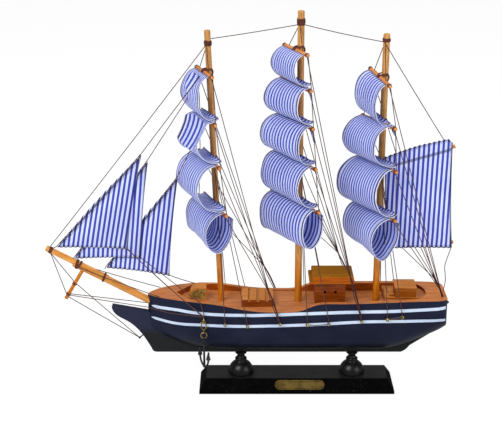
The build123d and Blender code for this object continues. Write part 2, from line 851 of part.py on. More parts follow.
def make_anchor(x, y):
    """A black hanging anchor: eye, short stock, shank, and two curved arms with flukes."""
    hinge_z = anchor_ring_centre_z - anchor_ring_major
    eye = Pos(x, y, hinge_z) * Rot(0, 90, 0) * Torus(0.98, 0.43)
    crown_z = 28.6
    shank = rod((x, y, hinge_z - 1.0), (x, y, crown_z), 0.75, 0.95)
    stock = Pos(x, y, hinge_z - 3.2) * Rot(90, 0, 56) * Cylinder(0.5, 7.0)
    swing = math.radians(-56)
    across = Vector(math.cos(swing), math.sin(swing), 0)
    centre = Vector(x, y, 0)
    span = 6.6
    lift = 14.6

    def spot(share, height):
        return centre + across * (span * share) + Vector(0, 0, crown_z + height)

    anchor = eye + shank + stock
    for side in (-1, 1):
        curve = Spline(spot(0, 0.2), spot(side * 0.62, 2.4), spot(side * 0.98, 8.4), spot(side * 1.0, lift))
        start = Plane(origin=curve @ 0, z_dir=curve % 0)
        arm = sweep(start * Circle(0.8), path=curve)
        fluke = Pos(*spot(side * 0.95, lift - 3.2)) * Rot(0, 0, -56) * Cone(1.9, 0.35, 6.4)
        anchor = anchor + arm + fluke
    ball = Pos(*spot(0, 0)) * Sphere(1.15)
    return anchor + ball


# ------------------------------------------------------------------ lashings


def cross_lashing(name):
    """Two tilted thread bands crossing around a mast and its yard."""
    mast, z, length, brace, tilt = yards[name]
    plane, offset = yard_frame(name)
    radius = mast_radius(mast, z)
    front = yard_radius + 0.5
    back = -(offset + radius + 0.5)
    centre = (front + back) / 2
    reach = (front - back) / 2
    band = None
    for slant in (-1, 1):
        ring = extrude(Ellipse(reach, 5.15) - Ellipse(reach - 0.45, 4.7), 0.6, both=True)
        ring = Pos(centre, 0, 0) * Rot(90 + slant * 42, 0, 0) * ring
        band = ring if band is None else band + ring
    return plane * band


def clean_lashing(band, solids):
    """Keeps only the thread outside the wood it is wound around."""
    return [piece for piece in trimmed(band, solids) if piece.volume > 0.15]


def wrap(centre, direction, radius, length, thickness=0.4):
    """A thread winding around a round spar."""
    ring = Cylinder(radius + thickness, length) - Cylinder(radius + 0.01, length + 1)
    return Plane(origin=centre, z_dir=direction) * ring


# ------------------------------------------------------------------ rigging


def line_solid(points):
    """A taut thread through two or more points."""
    body = None
    for start, end in zip(points[:-1], points[1:]):
        piece = rod(tuple(start), tuple(end), thread_radius)
        body = piece if body is None else body + piece
    for point in points[1:-1]:
        body = body + Pos(*point) * Sphere(thread_radius)
    return body


def make_rigging(lines, obstacles, bundles=()):
    """Joins the threads of one group and trims them where they meet anything else."""
    pieces = []
    bodies = [line_solid([Vector(*point) for point in points]) for points in lines]
    for body in bodies + list(bundles):
        pieces.extend(trimmed(body, obstacles))
    joined = pieces[0].fuse(*pieces[1:])
    return [solid for solid in solids_of(joined) if solid.volume > 0.1]


def mirrored(points):
    """The same line on the starboard side."""
    return [(x, -y, z) for x, y, z in points]


# ================================================================== build

base_plinth = save("base_plinth", make_base_plinth())
name_plate = save("name_plate", make_name_plate())
stand_post_fore = save("stand_post_fore", make_stand_post(-post_spacing / 2))
stand_post_aft = save("stand_post_aft", make_stand_post(post_spacing / 2))
stand_screws = save("stand_screws", make_stand_screws())

blank = make_hull_blank()
centres = eyelet_centres(blank)
hull = blank
for mast_name in masts:
    hull -= make_mast(mast_name, tight_fit)
bowsprit_hole = bowsprit_plane() * (
    Pos(0, 0, 20) * Cylinder(bowsprit_radius + tight_fit, 64.1)
)
hull -= bowsprit_hole
for hole in eyelet_holes(centres):
    hull -= hole
hull -= make_hull_pins(0.04)
hull = biggest(hull.solids())
hull = save("hull", hull)

keel_cutwater = save("keel_cutwater", make_keel_cutwater(blank, make_hull_pins(0.04)))
hull_pins = save("hull_pins", make_hull_pins())

bowsprit = save("bowsprit", make_bowsprit())
jibboom = save("jibboom", make_jibboom())
dolphin_striker = save("dolphin_striker", make_dolphin_striker(bowsprit, jibboom))

mast_solids = {}
for mast_name in masts:
    mast_solids[mast_name] = save(mast_name + "mast", make_mast(mast_name))

yard_solids = {}
for yard_name in yards:
    yard_solids[yard_name] = save(yard_name + "_yard", make_yard(yard_name))

lashing_solids = []
crossings = {}
for yard_name in yards:
    mast_name = yards[yard_name][0]
    pieces = clean_lashing(
        cross_lashing(yard_name), [make_mast(mast_name, 0.02), yard_solids[yard_name]]
    )
    crossings[yard_name] = pieces
    lashing_solids.extend(pieces)
    yard_plane = yard_frame(yard_name)[0]
    for end in (-1, 1):
        spot = yard_point(yard_name, end * (1 - 4.4 / yards[yard_name][2]))
        lashing_solids.append(wrap(spot, yard_plane.z_dir, yard_radius - 0.23, 1.4).solid())

masthead_heights = {"fore": 289.0, "main": 304.6, "mizzen": 287.6}
for mast_name, height in masthead_heights.items():
    axis = mast_axis(mast_name, 200) - mast_axis(mast_name, 100)
    lashing_solids.append(
        wrap(mast_axis(mast_name, height), axis, mast_radius(mast_name, height - 2), 4.2, 0.55).solid()
    )
sprit_axis = bowsprit_plane().z_dir
sprit_up = bowsprit_plane().y_dir * (1 if bowsprit_plane().y_dir.Z > 0 else -1)
tip_spot = bowsprit_point(-199.5) + sprit_up * jibboom_offset
lashing_solids.append(wrap(tip_spot, sprit_axis, jibboom_radius, 2.0, 0.45).solid())
for x, length in ((-178.5, 3.0), (-157.0, 3.0)):
    oval = extrude(Ellipse(3.45, 4.1) - Ellipse(3.0, 3.66), length / 2, both=True)
    oval = Plane(origin=bowsprit_point(x) + sprit_up * 0.45, x_dir=(0, 1, 0), z_dir=sprit_axis) * oval
    rest = trimmed(oval, [bowsprit, jibboom, dolphin_striker])
    lashing_solids.extend([piece for piece in rest if piece.volume > 1])
striker_axis = Vector(-188.6 + 172.6, 0, 77.4 - 104.4)
for share in (0.52, 0.86):
    spot = Vector(-172.6, 0, 104.4) + striker_axis * share
    lashing_solids.append(wrap(spot, striker_axis, 1.45, 1.8, 0.45).solid())

yard_order = list(yards)
sail_solids = {}
for index, yard_name in enumerate(yard_order):
    mast_name = yards[yard_name][0]
    lower = yard_order[index + 1] if index + 1 < len(yard_order) else None
    if lower is not None and yards[lower][0] != mast_name:
        lower = None
    notches = list(crossings[yard_name])
    if lower is not None:
        notches += crossings[lower]
    sail = make_square_sail(yard_name, lower, notches)
    sail_solids[yard_name] = save(yard_name + "_sail", sail)

flat_sails = {}
for jib_name, (corners, y) in jib_corners.items():
    flat_sails[jib_name] = save(jib_name, flat_sail(corners, (0.0, 1.0, 1.6), y))
spanker_sail = flat_sail(spanker_corners, (0.8, -0.6, 0.6, 0.0), spanker_y)
flat_sails["spanker"] = save("spanker_sail", spanker_sail)
spanker_gaff = save("spanker_gaff", make_spanker_gaff())
spanker_boom = save("spanker_boom", make_spanker_boom())

fore_companion = save("fore_companion", make_fore_companion(hull))
companion_lattice = save("companion_lattice", make_companion_lattice())
fore_deckhouse = save("fore_deckhouse", make_fore_deckhouse(hull))
wheelhouse = save("wheelhouse", make_wheelhouse(hull))
wheelhouse_roof = save("wheelhouse_roof", make_wheelhouse_roof())
aft_cabin = save("aft_cabin", make_aft_cabin())

eyes = make_hull_eyelets(centres)
hull_eyelets = save("hull_eyelets", Compound(children=eyes))
anchor_spot = centres[0]
hinge_z = anchor_spot[2] - anchor_ring_radius
anchor_clasp = save("anchor_clasp", make_anchor_clasp(anchor_spot[0], anchor_spot[1], hinge_z))
anchor = save("anchor", make_anchor(anchor_spot[0], anchor_spot[1]))

# Everything the threads must stop at
solid_things = [hull, keel_cutwater, bowsprit, jibboom, dolphin_striker, spanker_gaff, spanker_boom]
solid_things += list(hull_pins.solids())
solid_things += list(mast_solids.values())
solid_things += list(yard_solids.values())
solid_things += list(sail_solids.values())
solid_things += list(flat_sails.values())
solid_things += [wheelhouse, wheelhouse_roof, fore_deckhouse, aft_cabin, fore_companion]
solid_things += lashing_solids
solid_things += eyes
solid_things += [anchor_clasp, anchor]


def masthead(mast, dy=0.0, dz=0.0):
    """A point in the middle of a mast at the height of its head lashing."""
    spot = mast_axis(mast, masthead_heights[mast])
    return (spot.X, spot.Y + dy, spot.Z + dz)


def yard_tip(name, side):
    """The point where threads leave a yard end: port is -1, starboard is +1."""
    spot = yard_point(name, side * (1 - 4.4 / yards[name][2]))
    return (spot.X, spot.Y, spot.Z)


def eye(index, side):
    """The top of a hull eyelet."""
    x, y, z, eyelet_side, number = centres[index if side < 0 else index + len(eyelet_spots)]
    radius = anchor_ring_radius if number == 0 else eyelet_ring_radius
    return (x, y, z + radius)


def shroud(mast, height, index, side):
    """A thread from the side of a mast to an eyelet."""
    spot = mast_axis(mast, height)
    return [(spot.X, side * 1.0, spot.Z), eye(index, side)]


def gathered(names, side, foot):
    """Threads from the yard ends drawn together into one wound bundle above its fastening."""
    tips = [Vector(*yard_tip(name, side)) for name in names]
    foot = Vector(*foot)
    middle = sum(tips, Vector(0, 0, 0)) * (1 / len(tips))
    axis = (foot - middle).normalized()
    start = foot - axis * bundle_length
    fan = tips[0] - tips[-1]
    fan = (fan - axis * fan.dot(axis)).normalized()
    threads = []
    for number, tip in enumerate(tips):
        shift = ((len(tips) - 1) / 2 - number) * bundle_spacing
        threads.append([tuple(tip), tuple(start + fan * shift + axis * 0.8)])
    return threads, rod(tuple(start), tuple(foot), bundle_radius, bundle_radius / 2)


backstay_lines = []
bundles = []
for side in (-1, 1):
    for mast_name, foot in (
        ("fore", eye(3, side)),
        ("main", eye(6, side)),
        ("mizzen", (116.6, side * 11.5, 83.9)),
    ):
        names = [name for name in yards if yards[name][0] == mast_name]
        threads, bundle = gathered(names, side, foot)
        backstay_lines.extend(threads)
        bundles.append(bundle)
    backstay_lines.append(shroud("fore", 190.0, 1, side))
    backstay_lines.append(shroud("fore", 186.0, 2, side))
    backstay_lines.append(shroud("main", 190.0, 4, side))
    backstay_lines.append(shroud("main", 186.0, 5, side))
    backstay_lines.append(shroud("mizzen", 186.0, 7, side))
    backstay_lines.append(shroud("mizzen", 182.0, 8, side))

stay_lines = [
    [masthead("fore"), masthead("main")],
    [masthead("main"), masthead("mizzen")],
    [masthead("mizzen"), (111.4, -1.9, 204.6)],
]
for name in ("fore_royal", "main_skysail", "mizzen_royal"):
    for side in (-1, 1):
        foot = yard_point(name, side * 0.55)
        head = masthead(yards[name][0], 0, -2.0)
        stay_lines.append([head, (foot.X, foot.Y, foot.Z)])

jib_lines = [
    [masthead("fore", -0.6, -2), (-199.5, -1.2, 121.2)],
    [(-79.0, -2.6, 252.0), (-124.4, -2.6, 199.6), (-194.4, -2.6, 122.8), (-199.5, -1.0, 120.6)],
    [(-77.0, -0.6, 221.0), (-119.4, -0.6, 194.2), (-181.2, -0.6, 111.6)],
    [(-75.5, 1.4, 200.0), (-96.2, 1.4, 180.2), (-156.0, 1.4, 103.0)],
]

bow_lines = [
    [(-199.5, 0.0, 118.4), (-187.6, 0.0, 79.0), (-129.8, 0.0, 42.6)],
    [(-199.5, 0.0, 117.4), (-181.0, 0.0, 90.4), (-129.8, 0.0, 42.9)],
]
for side in (-1, 1):
    bow_lines.append([(-186.6, side * 1.0, 80.8), (-122.0, side * 6.0, 71.5), eye(0, side)])
    bow_lines.append([(-178.5, side * 3.2, 106.6), (-112.0, side * 10.4, 82.9)])

sheet_lines = [
    [(-137.2, -2.6, 121.2), eye(0, -1)],
    [(-126.2, -0.6, 112.6), (-77.6, -25.0, 82.0)],
    [(-103.8, 1.4, 96.8), (-84.0, 20.0, 83.0)],
    [(123.6, -3.0, 122.6), (120.4, -2.0, 112.0), (120.2, -1.0, 98.0), (118.6, 0.0, 83.3)],
]

backstays = save("backstays", make_rigging(backstay_lines, solid_things, bundles))
stays = save("stays", make_rigging(stay_lines + jib_lines, solid_things))
bow_rigging = save("bow_rigging", make_rigging(bow_lines, solid_things))
sail_sheets = save("sail_sheets", make_rigging(sheet_lines, solid_things + [bow_rigging]))
rope_lashings = save("rope_lashings", lashing_solids)
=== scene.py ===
import random
from functools import partialmethod
from math import atan2, cos, hypot, pi, radians, sin, tan
from types import SimpleNamespace

import bpy
import numpy as np
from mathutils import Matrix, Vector


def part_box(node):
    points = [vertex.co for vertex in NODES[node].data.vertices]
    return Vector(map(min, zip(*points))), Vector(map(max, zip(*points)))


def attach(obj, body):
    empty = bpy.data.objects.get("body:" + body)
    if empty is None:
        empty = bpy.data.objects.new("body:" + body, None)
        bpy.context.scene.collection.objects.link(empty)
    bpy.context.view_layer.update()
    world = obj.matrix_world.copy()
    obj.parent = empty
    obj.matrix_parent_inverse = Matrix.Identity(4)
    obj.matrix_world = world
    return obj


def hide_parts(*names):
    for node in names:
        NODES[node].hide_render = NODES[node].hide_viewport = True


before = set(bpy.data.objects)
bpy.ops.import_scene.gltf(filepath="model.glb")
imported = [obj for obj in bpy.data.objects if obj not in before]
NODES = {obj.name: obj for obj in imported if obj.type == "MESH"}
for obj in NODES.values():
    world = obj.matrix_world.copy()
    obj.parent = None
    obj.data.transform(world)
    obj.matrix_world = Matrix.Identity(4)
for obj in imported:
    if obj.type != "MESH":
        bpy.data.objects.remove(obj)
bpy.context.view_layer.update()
SCENE = bpy.context.scene
MM = 0.001
SPRIT_TILT = radians(28.2)
YARD_R = 1.55
THREAD = 0.33
SCENE.view_settings.view_transform = "Standard"

# --- measuring the CAD


def vec(x, y, z):
    return np.array([x, y, z], float)


def unit(vector):
    return vector / np.linalg.norm(vector)


def clamp(value):
    return np.clip(value, 0, 1)


UP = vec(0, 0, 1)


def cad_points(node):
    """Vertices of a CAD node in millimetres."""
    return np.array([v.co for v in NODES[node].data.vertices], float) / MM


def middle_y(node):
    low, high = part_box(node)
    return (low.y + high.y) / 2 / MM


def end_centres(points, axis):
    """Centres of the lowest and highest end of a long thin part along an axis."""
    along = points @ axis
    low = points[along < along.min() + 0.6]
    high = points[along > along.max() - 0.6]
    return (low.min(0) + low.max(0)) / 2, (high.min(0) + high.max(0)) / 2


def principal_axis(points):
    centred = points - points.mean(0)
    return np.linalg.eigh(centred.T @ centred)[1][:, -1]


MASTS = {}
for mast, taper in (("fore", 0.1), ("main", 0.25), ("mizzen", 0.25)):
    low, high = end_centres(cad_points(mast + "mast"), UP)
    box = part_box(mast + "mast")
    radius = (box[1].y - box[0].y) / 2 / MM
    MASTS[mast] = {"low": low, "high": high, "r_low": radius, "r_high": radius - taper}


def between(mast, z, low, high):
    """A measure of a mast at height z, between its value at the low and high end."""
    m = MASTS[mast]
    share = (z - m["low"][2]) / (m["high"][2] - m["low"][2])
    return m[low] + (m[high] - m[low]) * share


def mast_at(mast, z):
    return between(mast, z, "low", "high")


def mast_r(mast, z):
    return between(mast, z, "r_low", "r_high")


YARD_NAMES = (
    ("fore", ("fore_royal", "fore_topgallant", "fore_topsail", "fore_course")),
    ("main", ("main_skysail", "main_royal", "main_topgallant", "main_topsail", "main_course")),
    ("mizzen", ("mizzen_royal", "mizzen_topgallant", "mizzen_topsail", "mizzen_crossjack")),
)
YARDS = {}
for mast, names in YARD_NAMES:
    for name in names:
        pts = cad_points(name + "_yard")
        axis = principal_axis(pts)
        low, high = end_centres(pts, -axis if axis[1] < 0 else axis)
        along = unit(high - low)
        forward = unit(vec(-along[1], along[0], 0.0))
        forward = -forward if forward[0] > 0 else forward
        up = np.cross(along, forward)
        YARDS[name] = SimpleNamespace(
            mast=mast, centre=(low + high) / 2, half=np.linalg.norm(high - low) / 2,
            along=along, forward=forward, up=up if up[2] > 0 else -up,
        )


def yard_spot(name, side):
    """Where lines are tied, just inside a yard's end."""
    y = YARDS[name]
    return y.centre + y.along * side * (y.half - 2.2)


# --- node helpers


class Nodes:
    """Small helper to write node trees in a few words."""

    def __init__(self, name):
        self.mat = bpy.data.materials.new(name)
        self.mat.use_nodes = True
        self.tree = self.mat.node_tree
        self.tree.nodes.clear()
        self.out = self.node("OutputMaterial")
        self.bsdf = self.node("BsdfPrincipled")
        self.link(self.bsdf.outputs[0], self.out.inputs[0])

    def link(self, a, b):
        self.tree.links.new(a, b)

    def put(self, socket, value):
        if hasattr(value, "links"):
            self.link(value, socket)
        else:
            socket.default_value = value

    def fill(self, node, **values):
        """Set or link a node's inputs by name, with _ for a space."""
        for key, value in values.items():
            self.put(node.inputs[key.replace("_", " ")], value)
        return node

    def node(self, kind, **values):
        return self.fill(self.tree.nodes.new("ShaderNode" + kind), **values)

    def set(self, **values):
        self.fill(self.bsdf, **values)

    def calc(self, op, a, b=0.0, clamp=False):
        n = self.node("Math")
        n.operation = op
        n.use_clamp = clamp
        self.put(n.inputs[0], a)
        self.put(n.inputs[1], b)
        return n.outputs[0]

    add = partialmethod(calc, "ADD")
    sub = partialmethod(calc, "SUBTRACT")
    mul = partialmethod(calc, "MULTIPLY")
    div = partialmethod(calc, "DIVIDE")
    max = partialmethod(calc, "MAXIMUM")
    abs = partialmethod(calc, "ABSOLUTE")
    fract = partialmethod(calc, "FRACT")
    sqrt = partialmethod(calc, "SQRT")

    def away(self, value, centre):
        return self.abs(self.sub(value, centre))

    def zigzag(self, value, pitch):
        """0.5 at the ends of each repeat, 0 in its middle."""
        return self.away(self.fract(self.div(value, pitch)), 0.5)

    def measure(self, name):
        n = self.node("Attribute")
        n.attribute_name = name
        return n.outputs["Fac"]

    def position(self):
        return self.node("TexCoord").outputs["Object"]

    def separate(self):
        return self.node("SeparateXYZ", Vector=self.position()).outputs

    def mapping(self, vector, rotation=(0, 0, 0), scale=(1, 1, 1)):
        return self.node("Mapping", Vector=vector, Rotation=rotation, Scale=scale).outputs[0]

    def noise(self, vector, detail, rough=0.55, distort=0.0):
        n = self.node(
            "TexNoise", Vector=vector, Scale=1.0, Detail=detail, Roughness=rough, Distortion=distort
        )
        return n.outputs["Fac"]

    def cloud(self, x, y=None, z=None, detail=3.0):
        """Noise over the object, as many times per metre along each axis."""
        return self.noise(self.mapping(self.position(), scale=(x, y or x, z or x)), detail)

    def smooth(self, value, low, high, top=None):
        """A soft step from 0 at low to 1 at high, or to top."""
        n = self.node("MapRange", Value=value, From_Min=low, From_Max=high)
        n.interpolation_type = "SMOOTHSTEP"
        return self.mul(n.outputs[0], top) if top else n.outputs[0]

    def mix(self, share, a, b):
        n = self.node("Mix")
        n.data_type = "RGBA"
        for index, value in ((0, share), (6, a), (7, b)):
            self.put(n.inputs[index], value)
        return n.outputs[2]

    def ramp(self, value, stops):
        n = self.node("ValToRGB", Fac=value)
        ramp = n.color_ramp
        while len(ramp.elements) < len(stops):
            ramp.elements.new(0.5)
        for element, (place, colour) in zip(ramp.elements, stops):
            element.position = place
            element.color = colour
        return n.outputs[0]

    def curve(self, value, points):
        n = self.node("FloatCurve", Value=value)
        curve = n.mapping.curves[0]
        while len(curve.points) < len(points):
            curve.points.new(0.5, 0.5)
        for point, place in zip(curve.points, points):
            point.location = place
        n.mapping.update()
        return n.outputs[0]

    def bump(self, height, strength, distance):
        n = self.node("Bump", Height=height, Strength=strength, Distance=distance)
        self.link(n.outputs[0], self.bsdf.inputs["Normal"])
        return self.mat

    def show(self, share, a, b):
        """Send a mix of two shaders to the output."""
        n = self.node("MixShader")
        for socket, value in zip(n.inputs, (share, a, b)):
            self.put(socket, value)
        self.link(n.outputs[0], self.out.inputs[0])


def srgb(*values):
    """Linear colour from 0-255 values."""

    def one(c):
        c = c / 255.0
        return c / 12.92 if c <= 0.04045 else ((c + 0.055) / 1.055) ** 2.4

    return tuple(one(c) for c in values) + (1.0,)


# --- materials


def wood(
    name, tones, grain=(1, 0, 0), rotation=(0, 0, 0), scale=1.0,
    gloss=0.25, coat=0.5, low=None, shine=0.22,
):
    """Varnished wood; the grain runs along one axis of the object, or of a turned frame.

    tones are light, middle and dark; low, when given, is a second set blended in towards the deck:
    painted bounce light from the deck on the lower part.
    """
    m = Nodes(name)
    place = m.mapping(m.position(), rotation=rotation, scale=(1000, 1000, 1000))

    def grained(along, across):
        return m.mapping(place, scale=tuple((along if g else across) * scale for g in grain))

    rings = m.noise(grained(0.045, 0.55), 6.0, 0.62, 0.6)
    fine = m.noise(grained(0.12, 2.6), 4.0, 0.7)
    blotch = m.noise(m.mapping(place, scale=(0.05, 0.05, 0.05)), 2.0)
    value = m.add(m.mul(rings, 0.75), m.mul(fine, 0.25))

    def toned(three):
        return m.ramp(value, sorted(zip((0.62, 0.47, 0.30), (srgb(*tone) for tone in three))))

    colour = toned(tones)
    dark = srgb(*tones[2])
    # Painted bounce light: between about 92 and 128 mm the part goes over to the low tones, which
    # stand for the deck's reflected light
    if low:
        height = m.mul(m.separate()[2], 1000.0)
        colour = m.mix(m.smooth(height, 92.0, 128.0), toned(low), colour)
    colour = m.mix(m.smooth(fine, 0.62, 0.74, 0.30), colour, dark)
    colour = m.mix(m.smooth(blotch, 0.45, 0.75, 0.25), colour, dark)
    m.set(Base_Color=colour, Roughness=m.add(gloss, m.mul(fine, 0.18)), Coat_Weight=coat * 0.2)
    m.set(Coat_Roughness=0.25, Specular_IOR_Level=shine)
    return m.bump(value, 0.25, 0.0002)


UPPER_LINE = (
    (-125, 72.6), (-116, 73.1), (-98, 74.2), (-85, 73.4), (-61, 73.0), (-38, 73.2),
    (7, 74.6), (39, 75.5), (77, 75.7), (116, 76.7), (124, 76.9),
)
LOWER_LINE = (
    (-125, 62.5), (-117, 62.2), (-98, 61.5), (-78, 62.8), (-38, 63.6), (7, 65.0),
    (52, 67.0), (90, 66.6), (117, 65.9), (124, 65.8),
)


def hull_paint():
    """Navy gloss paint with two white lines, darkening to black along the bottom."""
    m = Nodes("hull_navy_paint")
    pos = m.separate()
    x, z = m.mul(pos[0], 1000.0), m.mul(pos[2], 1000.0)
    # the curve node works on 0 to 1, so x runs over the hull's length and z over a band
    ends, base, band = 125.0, 50.0, 40.0
    share = m.div(m.add(x, ends), 2 * ends, clamp=True)

    def line(points, half, start, end):
        spots = [((px + ends) / (2 * ends), (pz - base) / band) for px, pz in points]
        centre = m.add(m.mul(m.curve(share, spots), band), base)
        off = m.away(z, m.add(centre, m.mul(m.cloud(60, detail=2.0), 0.5)))
        tip = m.sqrt(m.div(m.sub(x, start), 4.0, clamp=True))
        mask = m.smooth(m.sub(m.mul(tip, half), off), -0.08, 0.12)
        return m.mul(mask, m.smooth(x, end + 0.15, end - 0.15))

    upper = line(UPPER_LINE, 1.35, -118.6, 118.6)
    lower = line(LOWER_LINE, 1.3, -119.0, 118.6)
    cloud = m.cloud(45)
    patchy = m.smooth(cloud, 0.35, 0.7)
    navy = m.mix(patchy, srgb(15, 19, 40), srgb(21, 26, 47))
    black = m.mix(patchy, srgb(16, 18, 20), srgb(26, 29, 29))
    low = m.smooth(m.add(z, m.mul(cloud, 3.0)), 38.5, 50.0)
    white = m.mix(m.smooth(cloud, 0.3, 0.7), srgb(164, 177, 200), srgb(183, 195, 214))
    mask = m.max(upper, lower)
    fine = m.cloud(400, 400, 900)
    m.set(Base_Color=m.mix(mask, m.mix(low, black, navy), white))
    m.set(Roughness=m.add(0.24, m.mul(fine, 0.14)))
    m.set(Coat_Weight=0.06, Coat_Roughness=0.25, Specular_IOR_Level=0.18)
    return m.bump(m.add(m.mul(mask, 0.5), m.mul(fine, 0.35)), 0.25, 0.00012)


def keel_paint():
    """Navy at the beakhead, black below."""
    m = Nodes("keel_dark_paint")
    z = m.mul(m.separate()[2], 1000.0)
    low = m.smooth(m.add(z, m.mul(m.cloud(60), 4.0)), 46.0, 58.0)
    colour = m.mix(low, srgb(22, 24, 25), srgb(29, 33, 56))
    fine = m.cloud(300, 900, 900, detail=4.0)
    colour = m.mix(m.smooth(fine, 0.5, 0.8, 0.25), colour, srgb(44, 46, 52))
    m.set(Base_Color=colour, Roughness=m.add(0.35, m.mul(fine, 0.2)), Specular_IOR_Level=0.25)
    return m.bump(fine, 0.2, 0.0002)


def black_lacquer(name, base, worn, gloss=0.3, shine=0.3):
    """Black lacquer with fine brush lines, dull patches and dust specks."""
    m = Nodes(name)
    fine = m.cloud(180, 700, 700, detail=5.0)
    dust = m.cloud(90, detail=4.0)
    speck = m.cloud(900, detail=1.0)
    colour = m.mix(m.smooth(dust, 0.35, 0.8), srgb(*base), srgb(*worn))
    colour = m.mix(m.smooth(speck, 0.70, 0.76, 0.35), colour, srgb(80, 80, 80))
    m.set(Base_Color=colour, Roughness=m.add(gloss, m.mul(fine, 0.25)), Specular_IOR_Level=shine)
    return m.bump(fine, 0.2, 0.0002)


def metal(name, bright, dull, metallic=1.0):
    m = Nodes(name)
    fine = m.cloud(500, detail=4.0)
    colour = m.mix(m.smooth(m.cloud(260), 0.35, 0.7), srgb(*bright), srgb(*dull))
    m.set(Base_Color=colour, Metallic=metallic, Roughness=m.add(0.3, m.mul(fine, 0.2)))
    return m.bump(fine, 0.15, 0.0001)


def woven_brass():
    """A panel of crossed gold wires over dark gaps."""
    m = Nodes("woven_brass")
    pitch = 2.1
    pos = m.separate()
    jitter = m.cloud(500, detail=2.0)
    x = m.add(m.mul(pos[0], 1000.0), m.mul(jitter, 0.5))
    z = m.mul(pos[2], 1100.0)
    near = m.max(m.zigzag(m.add(x, z), pitch), m.zigzag(m.sub(x, z), pitch))
    wire = m.smooth(near, 0.33, 0.43)
    gold = m.mix(m.smooth(jitter, 0.35, 0.65), srgb(150, 100, 34), srgb(236, 196, 104))
    m.set(Base_Color=m.mix(wire, srgb(34, 18, 6), gold), Metallic=m.mul(wire, 0.4), Roughness=0.4)
    return m.bump(wire, 0.4, 0.0003)


def plate_brass():
    """Brushed brass with a fine engraved border following the plate's outline."""
    m = Nodes("plate_brass")
    low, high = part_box("name_plate")
    centre = (low + high) / 2
    half_x = (high.x - low.x) / 2 / MM
    slant = hypot(high.y - low.y, high.z - low.z)
    pos = m.separate()
    x = m.abs(m.mul(m.sub(pos[0], centre.x), 1000.0))
    s = m.abs(m.mul(m.sub(pos[2], centre.z), 1000.0 * slant / (high.z - low.z)))
    radius, inset = 3.9, 1.1
    over = m.max(m.sub(x, half_x - radius), 0.0)
    ring = m.sqrt(m.add(m.mul(over, over), m.mul(s, s)))
    groove = m.smooth(m.away(ring, radius - inset), 0.22, 0.10)
    fine = m.cloud(70, 2500, 2500, detail=4.0)
    colour = m.mix(m.smooth(m.cloud(200), 0.35, 0.7), srgb(122, 100, 50), srgb(86, 69, 34))
    colour = m.mix(m.mul(groove, 0.8), colour, srgb(40, 30, 18))
    m.set(Base_Color=colour, Metallic=0.9, Roughness=m.add(0.3, m.mul(fine, 0.2)))
    return m.bump(m.sub(fine, groove), 0.2, 0.0001)


STRIPE = 3.75


def striped_cloth(name, zigzag, light_pair, dark_pair):
    """Blue and white woven stripes with a dark sewn edge, driven by the sheet's own measures."""
    m = Nodes(name)
    across, run, side, end = (m.measure(key + "_mm") for key in ("across", "run", "side", "end"))
    jitter = m.cloud(120, detail=2.0)
    near = m.zigzag(m.add(across, m.mul(jitter, 0.35)), STRIPE)
    blue = m.smooth(near, 0.30, 0.20)
    hair = m.smooth(near, 0.44, 0.47, 0.35)
    thread = m.mul(m.zigzag(across, 0.42), m.zigzag(run, 0.42))
    shade = m.smooth(m.cloud(40), 0.3, 0.75)
    light, dark = (m.mix(shade, srgb(*a), srgb(*b)) for a, b in (light_pair, dark_pair))
    colour = m.mix(blue, light, dark)
    colour = m.mix(hair, colour, srgb(140, 150, 215))
    colour = m.mix(m.smooth(thread, 0.0, 0.06, 0.16), colour, srgb(110, 118, 192))
    if zigzag:
        path = m.add(0.25, m.mul(m.zigzag(m.measure("edge_run_mm"), 1.9), 2.0))
        stitch = m.smooth(m.away(side, path), 0.36, 0.20)
        rim = m.smooth(side, 0.55, 0.35)
        seam = m.smooth(m.away(side, 1.9), 0.30, 0.14, 0.55)
        ends = m.mul(m.mul(blue, m.smooth(side, 2.6, 1.2)), 0.75)
        sewn = m.max(m.max(stitch, rim), m.max(seam, ends))
        # For the spanker, end is its distance from the gaff: a painted shadow of the gaff seen
        # through the cloth, and a strip along the leech; for the jibs it stays far and leaves the
        # cloth as is
        colour = m.mix(m.smooth(end, 1.5, 0.8, 0.62), colour, srgb(34, 30, 84))
        colour = m.mix(m.mul(sewn, 0.92), colour, srgb(28, 26, 74))
    else:
        rim = m.smooth(m.away(side, 1.55), 0.90, 0.70, 0.92)
        inner = m.mul(m.smooth(side, 2.20, 2.50), m.smooth(side, 3.40, 3.10))
        white = m.max(inner, m.smooth(side, 0.80, 0.60))
        colour = m.mix(m.mul(white, 0.85), colour, srgb(226, 230, 250))
        colour = m.mix(rim, colour, srgb(30, 28, 86))
        hem = m.max(m.smooth(m.away(end, 0.9), 0.28, 0.16), m.smooth(end, 0.40, 0.28))
        colour = m.mix(m.mul(hem, 0.85), colour, srgb(36, 34, 96))
    m.set(Base_Color=colour, Roughness=0.82, Sheen_Weight=0.25, Sheen_Roughness=0.5)
    # A faint glow of the cloth's own colour: painted light that brightens the sails in shade
    m.set(Emission_Color=colour, Emission_Strength=0.07)
    m.bump(m.add(thread, m.mul(jitter, 0.4)), 0.35, 0.00015)
    glow = m.node("BsdfTranslucent", Color=colour)
    m.show(0.42, m.bsdf.outputs[0], glow.outputs[0])
    return m.mat


def twisted_thread(name, dark, light, pitch=0.9):
    """Twisted thread: a spiral of strands along a tube."""
    m = Nodes(name)
    dark, light = srgb(*dark), srgb(*light)
    turn = m.fract(m.add(m.div(m.measure("run_mm"), pitch), m.mul(m.measure("around"), 2.0)))
    value = m.add(m.mul(m.away(turn, 0.5), 1.2), m.mul(m.cloud(1500), 0.5))
    colour = m.mix(m.smooth(value, 0.25, 0.8), dark, light)
    colour = m.mix(m.smooth(m.cloud(50, detail=2.0), 0.4, 0.7, 0.4), colour, dark)
    m.set(Base_Color=colour, Roughness=0.7)
    return m.bump(value, 0.6, 0.0002)


